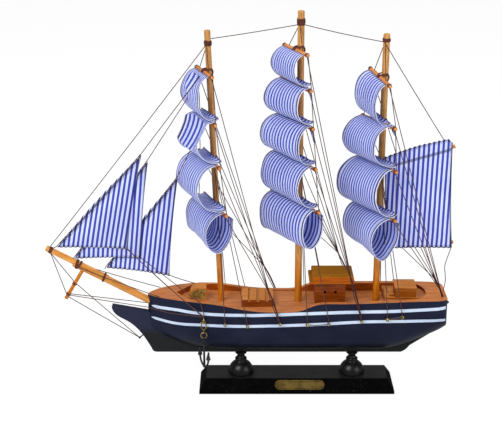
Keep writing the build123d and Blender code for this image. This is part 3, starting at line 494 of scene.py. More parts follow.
HONEY = ((208, 148, 74), (186, 122, 52), (142, 82, 28))
DEEP = ((196, 126, 58), (178, 108, 42), (138, 72, 20))
RUSSET = ((208, 142, 82), (184, 116, 60), (140, 82, 38))
ROSE = ((196, 124, 70), (174, 104, 54), (132, 70, 28))
# Lower mast tones: painted bounce light from the deck
MAST_DECK_BOUNCE = ((194, 118, 14), (170, 94, 8), (128, 60, 4))
TAN = ((196, 145, 84), (170, 119, 62), (128, 80, 36))
# Inner walls of the deck well: painted shade; its aft end wall: a darker painted shadow
RECESS_WALL_SHADE = ((172, 82, 10), (144, 64, 6), (102, 40, 3))
RECESS_END_SHADOW = ((112, 30, 5), (90, 20, 3), (62, 12, 2))
# Cabin side walls: the same wood as the tops, darker, as painted shade
CABIN_SHADED_WALL = ((136, 64, 10), (110, 46, 5), (74, 28, 2))
AFT_CABIN_SHADED_WALL = ((152, 84, 12), (128, 64, 6), (88, 40, 3))
ROOF = ((152, 98, 6), (134, 84, 3), (106, 62, 2))
ROOF_SIDE = ((164, 84, 8), (146, 70, 5), (112, 50, 3))
SAIL = (((222, 231, 255), (205, 215, 254)), ((62, 72, 180), (50, 58, 162)))
JIB = (((228, 236, 255), (212, 222, 255)), ((54, 60, 178), (44, 50, 160)))
MAT = {
    "paint": hull_paint(),
    "keel": keel_paint(),
    "deck": wood("deck_varnish", ROSE, coat=0.7, gloss=0.2),
    # Well walls: painted shade and painted shadow on the same varnished wood
    "recess_wall_shade": wood("recess_wall_painted_shade", RECESS_WALL_SHADE, coat=0.1),
    "recess_end_shadow": wood("recess_end_painted_shadow", RECESS_END_SHADOW, (0, 1, 0), coat=0.1),
    # Masts: the deeper tones near the deck are painted bounce light
    "mast": wood("mast_dowel", TAN, (0, 0, 1), low=MAST_DECK_BOUNCE),
    "sprit": wood("bowsprit_dowel", HONEY, rotation=(0, -SPRIT_TILT, 0)),
    "boom": wood("boom_dowel", HONEY),
    "cabin": wood("cabin_wood", DEEP, scale=1.3),
    # Cabin side walls: painted shade, a darker copy of the cabin wood
    "cabin_shaded_wall": wood("cabin_wall_painted_shade", CABIN_SHADED_WALL, scale=1.3),
    "aft_cabin_shaded_side": wood("aft_cabin_wall_painted_shade", AFT_CABIN_SHADED_WALL, scale=1.3),
    "roof": wood("olive_roof", ROOF, scale=1.2, coat=0.0, gloss=0.45, shine=0.05),
    "roof_side": wood("roof_side_wood", ROOF_SIDE, scale=1.2, coat=0.0, gloss=0.4, shine=0.08),
    "black": black_lacquer("black_base", (23, 23, 23), (36, 36, 36)),
    # The base's sides: painted shade, a darker copy of its black lacquer
    "black_shaded_side": black_lacquer("black_base_painted_shade_side", (1, 1, 1), (4, 4, 4), 0.5, 0.03),
    "shadow": black_lacquer("porthole_shadow", (5, 3, 2), (10, 7, 6), 0.6, 0.05),
    "post": black_lacquer("black_post", (9, 9, 10), (20, 20, 21), 0.22),
    "brass": metal("brass_fitting", (204, 184, 100), (128, 112, 58)),
    "lattice": woven_brass(),
    "plate": plate_brass(),
    "iron": metal("black_iron", (40, 41, 44), (24, 24, 26), 0.35),
    "steel": metal("zinc_steel", (190, 192, 196), (140, 142, 146)),
    "cloth": striped_cloth("striped_sail_cloth", False, *SAIL),
    "jib_cloth": striped_cloth("striped_jib_cloth", True, *JIB),
    "thread": twisted_thread("rigging_thread", (50, 24, 20), (92, 54, 44)),
    "cord": twisted_thread("backstay_cord", (34, 8, 8), (84, 22, 20), 1.4),
    "lash": twisted_thread("lashing_thread", (58, 20, 12), (112, 48, 30), 1.0),
}
for name, data in YARDS.items():
    turn = atan2(data.along[1], data.along[0])
    MAT["yard_" + name] = wood("yard_dowel_" + name, RUSSET, rotation=(0, 0, -turn))


def paint(node, *keys):
    """Give a CAD node its materials and return its faces."""
    mesh = NODES[node].data
    mesh.materials.clear()
    for key in keys:
        mesh.materials.append(MAT[key])
    return mesh.polygons


for key, nodes in (
    ("mast", "foremast mainmast mizzenmast dolphin_striker"), ("sprit", "bowsprit jibboom"),
    ("boom", "spanker_gaff spanker_boom"), ("post", "stand_post_fore stand_post_aft"),
    ("steel", "stand_screws"), ("keel", "keel_cutwater"), ("plate", "name_plate"),
    ("brass", "hull_eyelets anchor_clasp"), ("lattice", "companion_lattice"),
    ("iron", "anchor hull_pins"),
):
    for node in nodes.split():
        paint(node, key)
for name in YARDS:
    paint(name + "_yard", "yard_" + name)

# Tops light, sides deep: the cabins' and the base's sides are painted shade, darker copies of their
# tops; the roof's olive top and orange sides are its own two colours
for node, *keys in (
    ("fore_deckhouse", "cabin", "cabin_shaded_wall"), ("wheelhouse", "cabin", "cabin_shaded_wall", "shadow"),
    ("aft_cabin", "cabin", "aft_cabin_shaded_side"), ("wheelhouse_roof", "roof", "roof_side"),
    ("base_plinth", "black", "black_shaded_side"),
):
    for polygon in paint(node, *keys):
        polygon.material_index = 0 if polygon.normal.z > 0.7 else 1

# Painted shadow on the recess face behind the woven lattice
recess_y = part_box("companion_lattice")[1].y
for polygon in paint("fore_companion", "cabin", "shadow"):
    if polygon.normal.y < -0.9 and abs(polygon.center.y - recess_y) < 0.2 * MM:
        polygon.material_index = 1

# The two portholes get painted shadow inside
wall_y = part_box("wheelhouse")[0].y
for polygon in NODES["wheelhouse"].data.polygons:
    if 0.1 * MM < polygon.center.y - wall_y < 1.6 * MM and polygon.center.z > 0.085:
        polygon.material_index = 2

# Hull: painted outside, varnished rail and deck; the inner walls of the well carry painted shade,
# and its aft end wall a darker painted shadow
DECK_Z, WALL_Z, INNER_Y, WELL_END_X, STERN_X = 72, 74.5, 23.2, 96, 106
for polygon in paint("hull", "paint", "deck", "recess_wall_shade", "recess_end_shadow"):
    n = polygon.normal
    c = polygon.center / MM
    foot = (n.x < -0.4 and c.x > 60) or (n.x > 0.4 and c.x < -80 and abs(n.z) < 0.5)
    inward = n.y * c.y < -0.05 or foot
    if n.z > 0.6 and c.z > DECK_Z:
        polygon.material_index = 1
    elif c.z > WALL_Z and inward and abs(c.y) < INNER_Y and c.x < STERN_X:
        polygon.material_index = 3 if c.x > WELL_END_X else 2
    else:
        polygon.material_index = 0

# --- building sheets and tubes


def hand_over(obj, slot, *nodes, body="ship"):
    """Let a piece stand in for CAD nodes, if any, and ride on its body."""
    if nodes:
        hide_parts(*nodes)
    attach(obj, body)


def make_mesh(name, points, faces, material, floats):
    """A mesh in millimetres with named measures on its points."""
    mesh = bpy.data.meshes.new(name)
    mesh.from_pydata([tuple(np.array(p) * MM) for p in points], [], faces)
    for key, values in floats.items():
        attribute = mesh.attributes.new(key, "FLOAT", "POINT")
        attribute.data.foreach_set("value", np.array(values, np.float32))
    mesh.materials.append(material)
    mesh.polygons.foreach_set("use_smooth", [True] * len(mesh.polygons))
    mesh.update()
    obj = bpy.data.objects.new(name, mesh)
    SCENE.collection.objects.link(obj)
    return obj


def grid_faces(rows, columns):
    faces = []
    for i in range(rows - 1):
        for j in range(columns - 1):
            a = i * columns + j
            faces.append((a, a + 1, a + columns + 1, a + columns))
    return faces


def sheet(name, grid, look, nodes, **measures):
    """A cloth sheet from a grid of points, with its measures for the stripes and seams."""
    rows, columns = grid.shape[:2]
    floats = {key + "_mm": values.ravel() for key, values in measures.items()}
    obj = make_mesh(name, grid.reshape(-1, 3), grid_faces(rows, columns), MAT[look], floats)
    solid = obj.modifiers.new("cloth", "SOLIDIFY")
    solid.thickness = 0.42 * MM
    solid.offset = 0.0
    hand_over(obj, "striped_cloth", *nodes)


def catmull(points, count):
    """A smooth curve through points, resampled evenly by length."""
    points = np.array(points, float)
    ext = np.vstack([2 * points[0] - points[1], points, 2 * points[-1] - points[-2]])
    dense = []
    for i in range(1, len(ext) - 2):
        p0, p1, p2, p3 = ext[i - 1 : i + 3]
        for t in np.linspace(0, 1, 14, endpoint=False):
            square = (2 * p0 - 5 * p1 + 4 * p2 - p3) * t**2
            cube = (3 * p1 - p0 - 3 * p2 + p3) * t**3
            dense.append(0.5 * (2 * p1 + (p2 - p0) * t + square + cube))
    dense.append(ext[-2])
    dense = np.array(dense)
    steps = np.linalg.norm(np.diff(dense, axis=0), axis=1)
    length = np.concatenate([[0], np.cumsum(steps)])
    want = np.linspace(0, length[-1], count)
    columns = [np.interp(want, length, dense[:, k]) for k in range(dense.shape[1])]
    return np.stack(columns, axis=1), want


def sagging(a, b, sag=0.0, count=14):
    a, b = np.array(a, float), np.array(b, float)
    return [a + (b - a) * t - UP * (sag * 4 * t * (1 - t)) for t in np.linspace(0, 1, count)]


def join(points, sag=0.0):
    path = []
    for a, b in zip(points[:-1], points[1:]):
        piece = sagging(a, b, sag)
        path += piece if not path else piece[1:]
    return path


class Tubes:
    """Collects many thread tubes into one mesh."""

    def __init__(self):
        self.points, self.faces = [], []
        self.run, self.around = [], []

    def add(self, path, radius=THREAD, sides=7):
        path = np.array(path, float)
        tangent = np.gradient(path, axis=0)
        tangent /= np.linalg.norm(tangent, axis=1)[:, None] + 1e-9
        helper = UP if abs(tangent[0][2]) < 0.9 else vec(1, 0, 0)
        normal = unit(np.cross(tangent[0], helper))
        length = 0.0
        start = len(self.points)
        for i, (p, t) in enumerate(zip(path, tangent)):
            normal = normal - t * normal.dot(t)
            normal /= np.linalg.norm(normal) + 1e-9
            other = np.cross(t, normal)
            if i:
                length += np.linalg.norm(path[i] - path[i - 1])
            for k in range(sides + 1):
                angle = 2 * pi * k / sides
                outward = normal * cos(angle) + other * sin(angle)
                self.points.append(p + radius * outward)
                self.run.append(length)
                self.around.append(k / sides)
        n = sides + 1
        for i in range(len(path) - 1):
            for k in range(sides):
                a = start + i * n + k
                self.faces.append((a, a + 1, a + n + 1, a + n))
        last = start + (len(path) - 1) * n
        self.faces.append(tuple(range(start + sides - 1, start - 1, -1)))
        self.faces.append(tuple(range(last, last + sides)))

    def line(self, a, b, sag=0.0, count=14):
        self.add(sagging(a, b, sag, count))

    def coil(self, a, b, radius, wire, pitch):
        """A thread wound closely around a straight line."""
        a, b = np.array(a, float), np.array(b, float)
        axis = unit(b - a)
        n = unit(np.cross(axis, vec(1, 0, 0) if abs(axis[0]) < 0.8 else vec(0, 1, 0)))
        o = np.cross(axis, n)
        turns = np.linalg.norm(b - a) / pitch
        steps = int(turns * 12) + 2
        path = []
        for k in range(steps):
            t = k / (steps - 1)
            angle = 2 * pi * turns * t
            path.append(a + (b - a) * t + radius * (n * cos(angle) + o * sin(angle)))
        self.add(path, wire, 5)

    def coil_about(self, spot, axis, half, radius, wire, pitch):
        self.coil(spot - axis * half, spot + axis * half, radius, wire, pitch)

    def finish(self, name, look, *nodes, body="ship", slot="thread"):
        measures = {"run_mm": self.run, "around": self.around}
        obj = make_mesh(name, self.points, self.faces, MAT[look], measures)
        hand_over(obj, slot, *nodes, body=body)


# --- square sails


# How far before its yard's centre line the cloth hangs
HANG = 1.33


def sail_belly(name):
    """How far the CAD sail stands forward of its yard's front."""
    y = YARDS[name]
    pts = cad_points(name + "_sail") - y.centre
    return float((pts @ y.forward).max()) - HANG - 0.25


def sail_profile(name, lower, top):
    """Side profile of a square sail as (forward, up, share of the free bulge) from the yard."""
    y = YARDS[name]
    z = y.centre[2]
    belly = sail_belly(name)
    start = (1.85, -0.2) if top else (HANG, HANG)
    loose_drop = 30.0 if y.mast == "main" else 28.0
    drop = z - YARDS[lower].centre[2] if lower else loose_drop
    waist = -0.48 * drop if lower else -14.0

    def front(at_z):
        here = mast_at(y.mast, at_z) - y.centre
        return here.dot(y.forward) + mast_r(y.mast, at_z)

    points = [(*start, 0.0)]
    for angle in (12, 24, 36, 48, 60, 75, 90):
        a = radians(angle)
        height = waist + (start[1] - waist) * cos(a)
        points.append((HANG + belly * sin(a), height, sin(a)))
    if lower is None:
        face = front(z - 0.5 * drop) + 0.75
        middle = 0.5 * (HANG + belly + face)
        across = 0.5 * (HANG + belly - face)
        for angle in range(18, 163, 18):
            a = radians(angle)
            height = waist - (drop + waist) * sin(a)
            points.append((middle + across * cos(a), height, 0.5 + 0.5 * cos(a)))
        return points + [(face, waist, 0.0), (face, -9.0, 0.0), (face, -4.2, 0.0)]
    low = 3.1 - drop
    face = max(front(z - drop), front(z - drop + 9.0)) + 0.5
    for angle in range(15, 91, 15):
        a = radians(angle)
        ahead = 1.6 + (HANG + belly - 1.6) * cos(a)
        points.append((ahead, waist + (low - waist) * sin(a), cos(a)))
    return points + [(face + 0.8, low + 0.7, 0.0), (face, low + 2.6, 0.0)]


def smooth_noise(seed, a, b):
    """Gentle repeatable waves over a sheet, between -1 and 1."""
    r = random.Random(seed)
    total = 0.0
    for k in range(4):
        fa = r.uniform(0.5, 1.9) * (k + 1) * 0.7
        fb = r.uniform(0.5, 1.9) * (k + 1) * 0.7
        total = total + 0.6**k * np.sin(fa * a + fb * b + r.uniform(0, 6.28))
    return total / 2.2


# Stays that press on the fore sails: two points (x, z) of each line in the centre plane
PRESSING = (
    ((-76.0, 263.0), (-124.4, 199.6)),
    ((-72.0, 229.0), (-96.2, 180.2)),
)


# For each yard's sail: how much fuller its starboard half is than its port half, how much
# closer together its stripes lie, how far its port foot hangs down to a point, and how long
# the flap of cloth is that hangs behind the yard's port end
CUT = {
    "fore_royal": (0.15, 1.0, 0.0, 0.0), "fore_topgallant": (0.20, 1.0, 0.0, 8.0),
    "fore_topsail": (0.10, 1.0, 0.0, 0.0), "fore_course": (-0.16, 1.0, 2.5, 0.0),
    "main_skysail": (0.17, 1.0, 0.0, 0.0), "main_royal": (0.24, 1.0, 0.0, 9.0),
    "main_topgallant": (0.27, 1.0, 0.0, 12.0), "main_topsail": (0.05, 1.0, 0.0, 0.0),
    "main_course": (0.04, 1.0, 0.0, 0.0), "mizzen_royal": (0.18, 1.05, 0.0, 0.0),
    "mizzen_topgallant": (0.10, 1.34, 0.0, 8.0), "mizzen_topsail": (0.13, 1.34, 0.0, 0.0),
    "mizzen_crossjack": (-0.20, 1.12, 4.4, 0.0),
}


def from_yard(y, ahead, high, along):
    """Points of a sheet from how far they are ahead of, above and along a yard."""
    grid = y.centre + ahead[..., None] * y.forward + high[..., None] * y.up
    return grid + along[..., None] * y.along


def make_square(name, lower, top, seed):
    y = YARDS[name]
    profile, run = catmull(sail_profile(name, lower, top), 48)
    share = profile[:, 2]
    half = y.half - 4.0
    u = np.linspace(-half, half, 41)
    total = run[-1]
    U, R = np.meshgrid(u, run)
    flat = profile[:, :2]
    tangent = np.gradient(flat, axis=0)
    tangent /= np.linalg.norm(tangent, axis=1)[:, None]
    normal = np.stack([-tangent[:, 1], tangent[:, 0]], axis=1)
    loose = np.sin(np.pi * clamp(R / total)) ** 0.7
    ripple = smooth_noise(seed, U / 9.0, R / 14.0) * 0.50 * loose
    flutter = smooth_noise(seed + 50, np.sign(U) * 2.0, R / 9.0)
    edge_roll = np.exp(-((half - np.abs(U)) / 2.5)) * 0.8 * flutter * loose
    belly = sail_belly(name)
    twist, weave, point, flap = CUT[name]
    lean = twist * U / half
    out = clamp((np.abs(U) - 5.0) / 14.0) * np.where(U < 0, 1.0, 0.25)
    if lower is None:
        arm = clamp((R / total - 0.52) / 0.48)
        arm = np.sin(np.minimum(arm * 1.15, 1.0) * pi / 2)
        aft, sink = 5.5, 0.0
    else:
        arm = clamp((R / total - 0.74) / 0.26) ** 1.3
        aft, sink = 3.6, 1.6
    lowest = run[flat[:, 1].argmin()]
    dip = point * np.exp(-(((R - lowest) / 5.5) ** 2))
    dip = dip * clamp((-U - 3.0) / 14.0)
    bump = ripple + edge_roll
    ahead = flat[:, :1] + normal[:, :1] * bump + share[:, None] * belly * lean - aft * arm * out
    uneven = 1 + 0.35 * np.sin(U * 0.35 + seed)
    high = flat[:, 1:] + normal[:, 1:] * bump - sink * arm * out * uneven
    high = high - dip - np.clip(U, 0, half) * (y.along[2] * R / total + 1.2 * arm / half)
    grid = from_yard(y, ahead, high, U * (1.0 + 0.015 * loose))
    if y.mast == "fore":
        for (x0, z0), (x1, z1) in PRESSING:
            down = (z0 - grid[..., 2]) / (z0 - z1)
            stay_x = x0 + (x1 - x0) * down
            limit = stay_x + 1.0 - np.maximum(grid[..., 1] + 1.2, 0)
            near = (down > 0.0) & (down < 1.0)
            grid[..., 0] += np.where(near, np.clip(limit - grid[..., 0], 0.0, 14.0), 0.0)
    sheet(
        name + "_cloth", grid, "cloth", (name + "_sail",),
        across=(U + half) * weave + seed * 0.37, run=R,
        side=half - np.abs(U), end=np.minimum(R, total - R), edge_run=R,
    )
    if flap:
        make_flap(name, half, flap, seed)


def make_flap(name, half, length, seed):
    """The corner of the sail's head, folded over the yard and hanging behind it."""
    y = YARDS[name]
    reach = 7.5
    path = [
        (1.7, 0.9), (1.0, 1.78), (0.0, 2.02), (-1.2, 1.6), (-2.0, 0.2),
        (-2.4, -0.35 * length), (-2.2 - 0.14 * length, -length),
    ]
    profile, run = catmull(path, 22)
    u = np.linspace(-half, -half + reach, 12)
    U, R = np.meshgrid(u, run)
    share = (U + half) / reach
    keep = 1.0 - 0.55 * share**1.5
    ahead = profile[:, :1] + 0.5 * np.sin(R * 0.5 + U * 0.6 + seed) * clamp(R / 8.0) * 0.6
    drop = profile[:, 1:]
    slide = clamp(-drop / length) * (1.0 - 0.25 * reach * share)
    grid = from_yard(y, ahead, np.where(drop > 0, drop, drop * keep), U + slide)
    side = np.minimum(U + half, -half + reach - U + 0.3)
    sheet(
        name + "_head_flap", grid, "cloth", (),
        across=U + half + seed * 0.37, run=R, side=side, end=run[-1] - R + 0.2, edge_run=R,
    )


seed = 3
for mast, names in YARD_NAMES:
    for index, name in enumerate(names):
        lower = names[index + 1] if index + 1 < len(names) else None
        make_square(name, lower, index == 0, seed)
        seed += 7

# --- jibs and spanker


# Directions (x, z) in which a sail's corners stand out: head, tack, clew of a jib;
# throat, peak, clew, tack of the spanker
JIB_WAYS = ((0, 1), (-1, 0), (1, -0.55))
SPANKER_WAYS = ((-1, 0.5), (0.5, 1), (1, -0.5), (-1, -1))


def plane_corners(node, count):
    """Corners of a flat CAD sail: the points furthest out in a few directions."""
    pts = cad_points(node)
    directions = JIB_WAYS if count == 3 else SPANKER_WAYS
    return [pts[(pts[:, 0] * x + pts[:, 2] * z).argmax()] for x, z in directions]


def edge_distance(x, z, a, b):
    """How far points are from a straight edge, and how far along it."""
    dx, dz = b[0] - a[0], b[2] - a[2]
    length = hypot(dx, dz)
    off = np.abs((x - a[0]) * dz - (z - a[2]) * dx) / length
    return off, ((x - a[0]) * dx + (z - a[2]) * dz) / length


def finish_flat(name, node, grid, edges, seed, billow, skew, behind=9.0, first=1e9):
    """Billow a flat sail; edges are pairs of corners that carry a sewn seam."""
    x, z = grid[..., 0], grid[..., 2]
    best = np.full(x.shape, 1.0) * first
    best_run = x.copy()
    for a, b in edges:
        d, run = edge_distance(x, z, a, b)
        take = d < best
        best = np.where(take, d, best)
        best_run = np.where(take, run, best_run)
    inner = clamp(best / 10.0)
    wave = smooth_noise(seed, x / 11.0, z / 16.0)
    grid[..., 1] += -billow * inner**0.8 + 0.35 * wave * np.clip(best / 3.0, 0.25, 1)
    # behind carries the distance for the painted gaff shadow; the 9 mm default means none
    sheet(
        name, grid, "jib_cloth", (node,),
        across=x + skew * z + seed, run=z, side=best, end=best * 0 + behind, edge_run=best_run,
    )


def tooth(value):
    """Saw-edge of pinked cloth, one tooth to a stripe."""
    return np.abs(((value / STRIPE) % 1.0) - 0.5) * 2.0


def make_jib(node, seed, billow, skew):
    head, tack, clew = plane_corners(node, 3)
    t = np.linspace(0.003, 1, 110)[:, None]
    q = np.linspace(0, 1, 90)[None, :]
    luff = head + (tack - head) * t
    leech = head + (clew - head) * t
    leech = leech - vec(1, 0, -0.1) * (2.4 * 4 * t * (1 - t) * 0.5)
    spot = luff[:, None, :] + (leech - luff)[:, None, :] * q[..., None]
    across = spot[..., 0] + skew * spot[..., 2] + seed
    edge = head - tack
    outward = vec(-edge[2], 0, edge[0]) / np.linalg.norm(edge)
    outward = outward if outward[0] < 0 else -outward
    saw = tooth(across)
    luff_push = (1 - q) ** 14 * 0.8 * saw + 1.4 * np.sin(np.pi * t) * (1 - q)
    foot_push = t**14 * 0.8 * saw - 0.9 * t**6 * np.sin(np.pi * q)
    grid = spot + outward * luff_push[..., None] - UP * foot_push[..., None]
    grid[..., 1] = middle_y(node)
    edges = ((head, tack), (tack, clew), (clew, head))
    finish_flat(node + "_cloth", node, grid, edges, seed, billow, skew)


make_jib("inner_jib", 5, 1.0, -0.13)
make_jib("outer_jib", 9, 1.1, -0.10)
make_jib("flying_jib", 13, 1.3, -0.18)


def make_spanker():
    throat, peak, clew, tack = plane_corners("spanker_sail", 4)
    t = np.linspace(0, 1, 100)[:, None]
    q = np.linspace(0, 1, 100)[None, :]
    left = throat + (tack - throat) * t
    right = peak + (clew - peak) * t - vec(0.9, 0, 0) * np.sin(np.pi * t)
    grid = left[:, None, :] + (right - left)[:, None, :] * q[..., None]
    saw = tooth(grid[..., 0] - 0.02 * grid[..., 2] + 21)
    crown = 3.3 * np.sin(np.minimum(q / 0.6, 1.0) * np.pi / 2)
    crown = crown - 4.0 * clamp((q - 0.9) / 0.1) ** 2
    rise = (1 - t) ** 14 * 1.1 * (1.0 - saw) + crown * (1 - t) ** 2
    fall = t**14 * 0.7 * saw - 0.6 * np.sin(np.pi * q) * t
    grid = grid + UP * (rise - fall)[..., None]
    grid[..., 1] = middle_y("spanker_sail")
    head_off = grid[0, :, 2][None, :] - grid[..., 2] + 0.2
    edges = ((peak, clew), (clew, tack), (tack, throat))
    gaff = end_centres(cad_points("spanker_gaff"), vec(1, 0, 0))
    # Distance from the gaff, for the painted shadow of the gaff through the cloth; kept small along
    # the leech
    gaff_shadow_off = edge_distance(grid[..., 0], grid[..., 2], *gaff)[0]
    gaff_shadow_off = np.minimum(gaff_shadow_off, (1.0 - q) * (clew[0] - tack[0]) + 0.2)
    finish_flat(
        "spanker_cloth", "spanker_sail", grid, edges, 21, 0.8, -0.02, gaff_shadow_off, head_off
    )


make_spanker()

# --- brass fittings

# Top of each eyelet's ring, from bow to stern
EYES = {-1: [], 1: []}
eyelet_points = cad_points("hull_eyelets")
for side in (-1, 1):
    mine = eyelet_points[eyelet_points[:, 1] * side > 0]
    mine = mine[np.argsort(mine[:, 0])]
    gaps = np.where(np.diff(mine[:, 0]) > 3.0)[0] + 1
    for group in np.split(mine, gaps):
        outer = group[np.abs(group[:, 1]) > np.abs(group[:, 1]).max() - 1.6]
        middle = (outer[:, 1].min() + outer[:, 1].max()) / 2
        EYES[side].append(vec(group[:, 0].mean(), middle, group[:, 2].max()))


def round_path(centre, radius, across):
    """A closed upright circle of points."""
    turns = np.linspace(0, 2 * pi, 29)[:, None]
    return centre + radius * (across * np.cos(turns) + UP * np.sin(turns))


# Eyelets with their rings turned to lie along the side; the first pair stands out for the clasp
eyelets = Tubes()
for side in (-1, 1):
    for index, top in enumerate(EYES[side]):
        turn = radians(60) if index else 0.0
        across = vec(sin(turn), side * cos(turn), 0)
        radius, wire = (1.0, 0.48) if index else (1.6, 0.35)
        centre = top - UP * (radius + 0.35)
        eyelets.add(round_path(centre, radius, across), wire, 8)
        root = centre - across * radius
        eyelets.add([root, root - vec(0, side * 2.4, 0)], 0.38, 8)
eyelets.finish("brass_eyelets", "brass", "hull_eyelets", slot="brass")

# Spring clasp: hinge eye, round claw with its thumb lever, short shank, ring for the anchor
clasp_points = cad_points("anchor_clasp")
clasp_low, clasp_high = clasp_points.min(0), clasp_points.max(0)
ring_x = clasp_points[clasp_points[:, 2] < clasp_low[2] + 4.0][:, 0]
clasp_y = (clasp_low[1] + clasp_high[1]) / 2
ring_centre = vec((ring_x.min() + ring_x.max()) / 2, clasp_y, clasp_low[2] + 2.9)
hinge = vec(ring_centre[0], clasp_y, clasp_high[2] - 1.15)
clasp = Tubes()
clasp.add(round_path(ring_centre, 2.45, vec(1, 0, 0)), 0.45, 10)
clasp.add(round_path(hinge, 0.8, vec(1, 0, 0)), 0.35, 8)
neck = ring_centre + UP * 4.6
clasp.add([ring_centre + UP * 2.5, neck, neck + UP * 0.5], 0.62, 10)
tall = hinge[2] - 1.2 - neck[2]
claw = [
    (0, 0), (-1.5, 0.22), (-1.95, 0.5), (-1.5, 0.84), (0, 1.0),
    (1.5, 0.84), (1.95, 0.5), (1.4, 0.22), (0, 0),
]
clasp.add(catmull([neck + vec(a, 0, b * tall) for a, b in claw], 40)[0], 0.55, 10)
clasp.add([neck + vec(-1.6, 0, 0.8 * tall), neck + vec(-2.5, 0, 0.98 * tall)], 0.4, 8)
clasp.finish("spring_clasp", "brass", "anchor_clasp", body="clasp", slot="brass")

# --- rigging

MASTHEAD = {"fore": 287.0, "main": 303.3, "mizzen": 289.4}
# Half the height of the lashing wound round each masthead
WOUND = {"fore": 2.1, "main": 2.6, "mizzen": 1.5}
# How far above its foot each bundle of backstays is tied together
GATHER = {"fore": 31.0, "main": 42.0, "mizzen": 8.0}
# Single shrouds: their heights on the mast and the eyelets they go to
SHROUDS = {
    "fore": ((190, 1), (186, 2)), "main": ((190, 4), (186, 5)), "mizzen": ((186, 7), (182, 8)),
}


def head_spot(mast, dz=0.0, dx=0.0, dy=0.0):
    return mast_at(mast, MASTHEAD[mast] + dz) + vec(dx, dy, 0)


backs, cords, knots = Tubes(), Tubes(), Tubes()
for side in (-1, 1):
    eyes = EYES[side]
    feet = {"fore": eyes[3], "main": eyes[6], "mizzen": vec(116.6, side * 11.5, 83.7)}
    for mast, names in YARD_NAMES:
        foot = feet[mast]
        tips = [yard_spot(n, side) for n in names]
        axis = unit(foot - np.mean(tips, axis=0))
        reach = GATHER[mast]
        gather = foot - axis * reach
        fan = tips[0] - tips[-1]
        fan = unit(fan - axis * fan.dot(axis))
        for k, tip in enumerate(tips):
            shift = fan * ((len(tips) - 1) / 2 - k) * 0.30
            backs.line(tip + UP * -1.5, gather + shift, 0.3, 20)
        for lean, width in ((-1, 0.34), (0.3, 0.30), (1, 0.42)):
            spread = fan * lean * (0.5 if mast == "mizzen" else 1.0)
            path = [gather, gather + axis * 0.4 * reach + spread, foot + spread * 0.25]
            cords.add(catmull(path, 16)[0], width)
        cords.coil(gather - axis * 1.6, gather + axis * 1.8, 0.55, 0.30, 0.56)
        cords.coil(foot - axis * 4.0, foot, 0.62, 0.28, 0.56)
    for mast, shrouds in SHROUDS.items():
        for height, index in shrouds:
            eye = eyes[index]
            start = mast_at(mast, height) + vec(0.6, side * (mast_r(mast, height) * 0.9), 0)
            backs.line(start, eye, 0.2)
            cords.coil(eye + unit(start - eye) * 3.2, eye, 0.30, 0.24, 0.5)
    under = vec(0, -side * 0.3, 0.6)
    backs.line(eyes[4] - under, eyes[5] - under, 0.8)
    backs.add(sagging(eyes[7] - UP * 0.6, eyes[8] - UP * 0.6, 0.4), 0.55)
backs.finish("backstay_threads", "thread", "backstays")
cords.finish("backstay_cords", "cord")

stay = Tubes()
stay.line(head_spot("fore", 3.4, 2.6), head_spot("main", -2.4, -2.8), 0.3, 24)
stay.line(head_spot("main", -2.4, 2.8), head_spot("mizzen", -1.4, -2.8), 0.5, 24)
spanker_peak = plane_corners("spanker_sail", 4)[1]
stay.line(head_spot("mizzen", -1.5, -1.6, -2.7), spanker_peak + vec(-5.0, 0.6, -0.8), 0.4, 20)
for name in ("fore_royal", "main_skysail", "mizzen_royal"):
    y = YARDS[name]
    for side in (-1, 1):
        foot = y.centre + y.along * side * 0.55 * y.half + y.up * 1.4
        stay.line(head_spot(y.mast, -2.0, -1.0, side * 1.5), foot, 0.0, 10)
for mast, names in YARD_NAMES:
    for a, b in zip(names[:-1], names[1:]):
        for side in (-1, 1):
            low_end = yard_spot(b, side) + vec(0.8, 0, 1.4)
            stay.line(yard_spot(a, side) + vec(0.8, 0, -1.4), low_end, 0.0, 12)
sprit_tip = vec(-199.5, 0, 120.4)
fore_top = head_spot("fore", -2.6, -2.4)
stay.line(fore_top, sprit_tip + vec(0, -1.0, 1.6), 0.6, 30)
ahead = vec(-0.7, 0, 0.6)
clews = {}
for node, start, foot in (
    ("flying_jib", (-76.0, -1.4, 263.0), (-198.5, -1.0, 120.2)),
    ("outer_jib", (-75.6, -0.6, 261.5), (-181.0, -0.6, 111.4)),
    ("inner_jib", (-72.0, 0.6, 229.0), (-156.2, 1.0, 102.6)),
):
    mid_y = middle_y(node)
    head, tack, clews[node] = (vec(p[0], mid_y, p[2]) for p in plane_corners(node, 3))
    stay.add(join([start, head + ahead, tack + ahead, foot]))
    knots.coil(head + ahead * 1.2, head + ahead + (tack - head) * 0.03, 0.3, 0.2, 0.5)
stay.finish("stay_threads", "thread", "stays")

bow = Tubes()
striker_low, pin = vec(-187.4, 0, 79.4), vec(-129.7, 0, 42.6)
bow.add(join([sprit_tip + UP * -2.6, striker_low, pin], 0.2))
bow.add(join([sprit_tip + vec(0, 0.4, -3.2), vec(-180.6, 0.3, 91.0), pin], 0.2))
for side in (-1, 1):
    stem, cheek = vec(-122.6, side * 4.4, 71.6), vec(-104.0, side * 15.9, 71.2)
    bow.add(join([striker_low + vec(0.6, side * 1.4, 1.6), stem, cheek, EYES[side][0]]))
    bow.line(vec(-178.5, side * 3.3, 106.6), vec(-112.0, side * 10.0, 82.9), 0.6)
bow.finish("bow_threads", "thread", "bow_rigging")

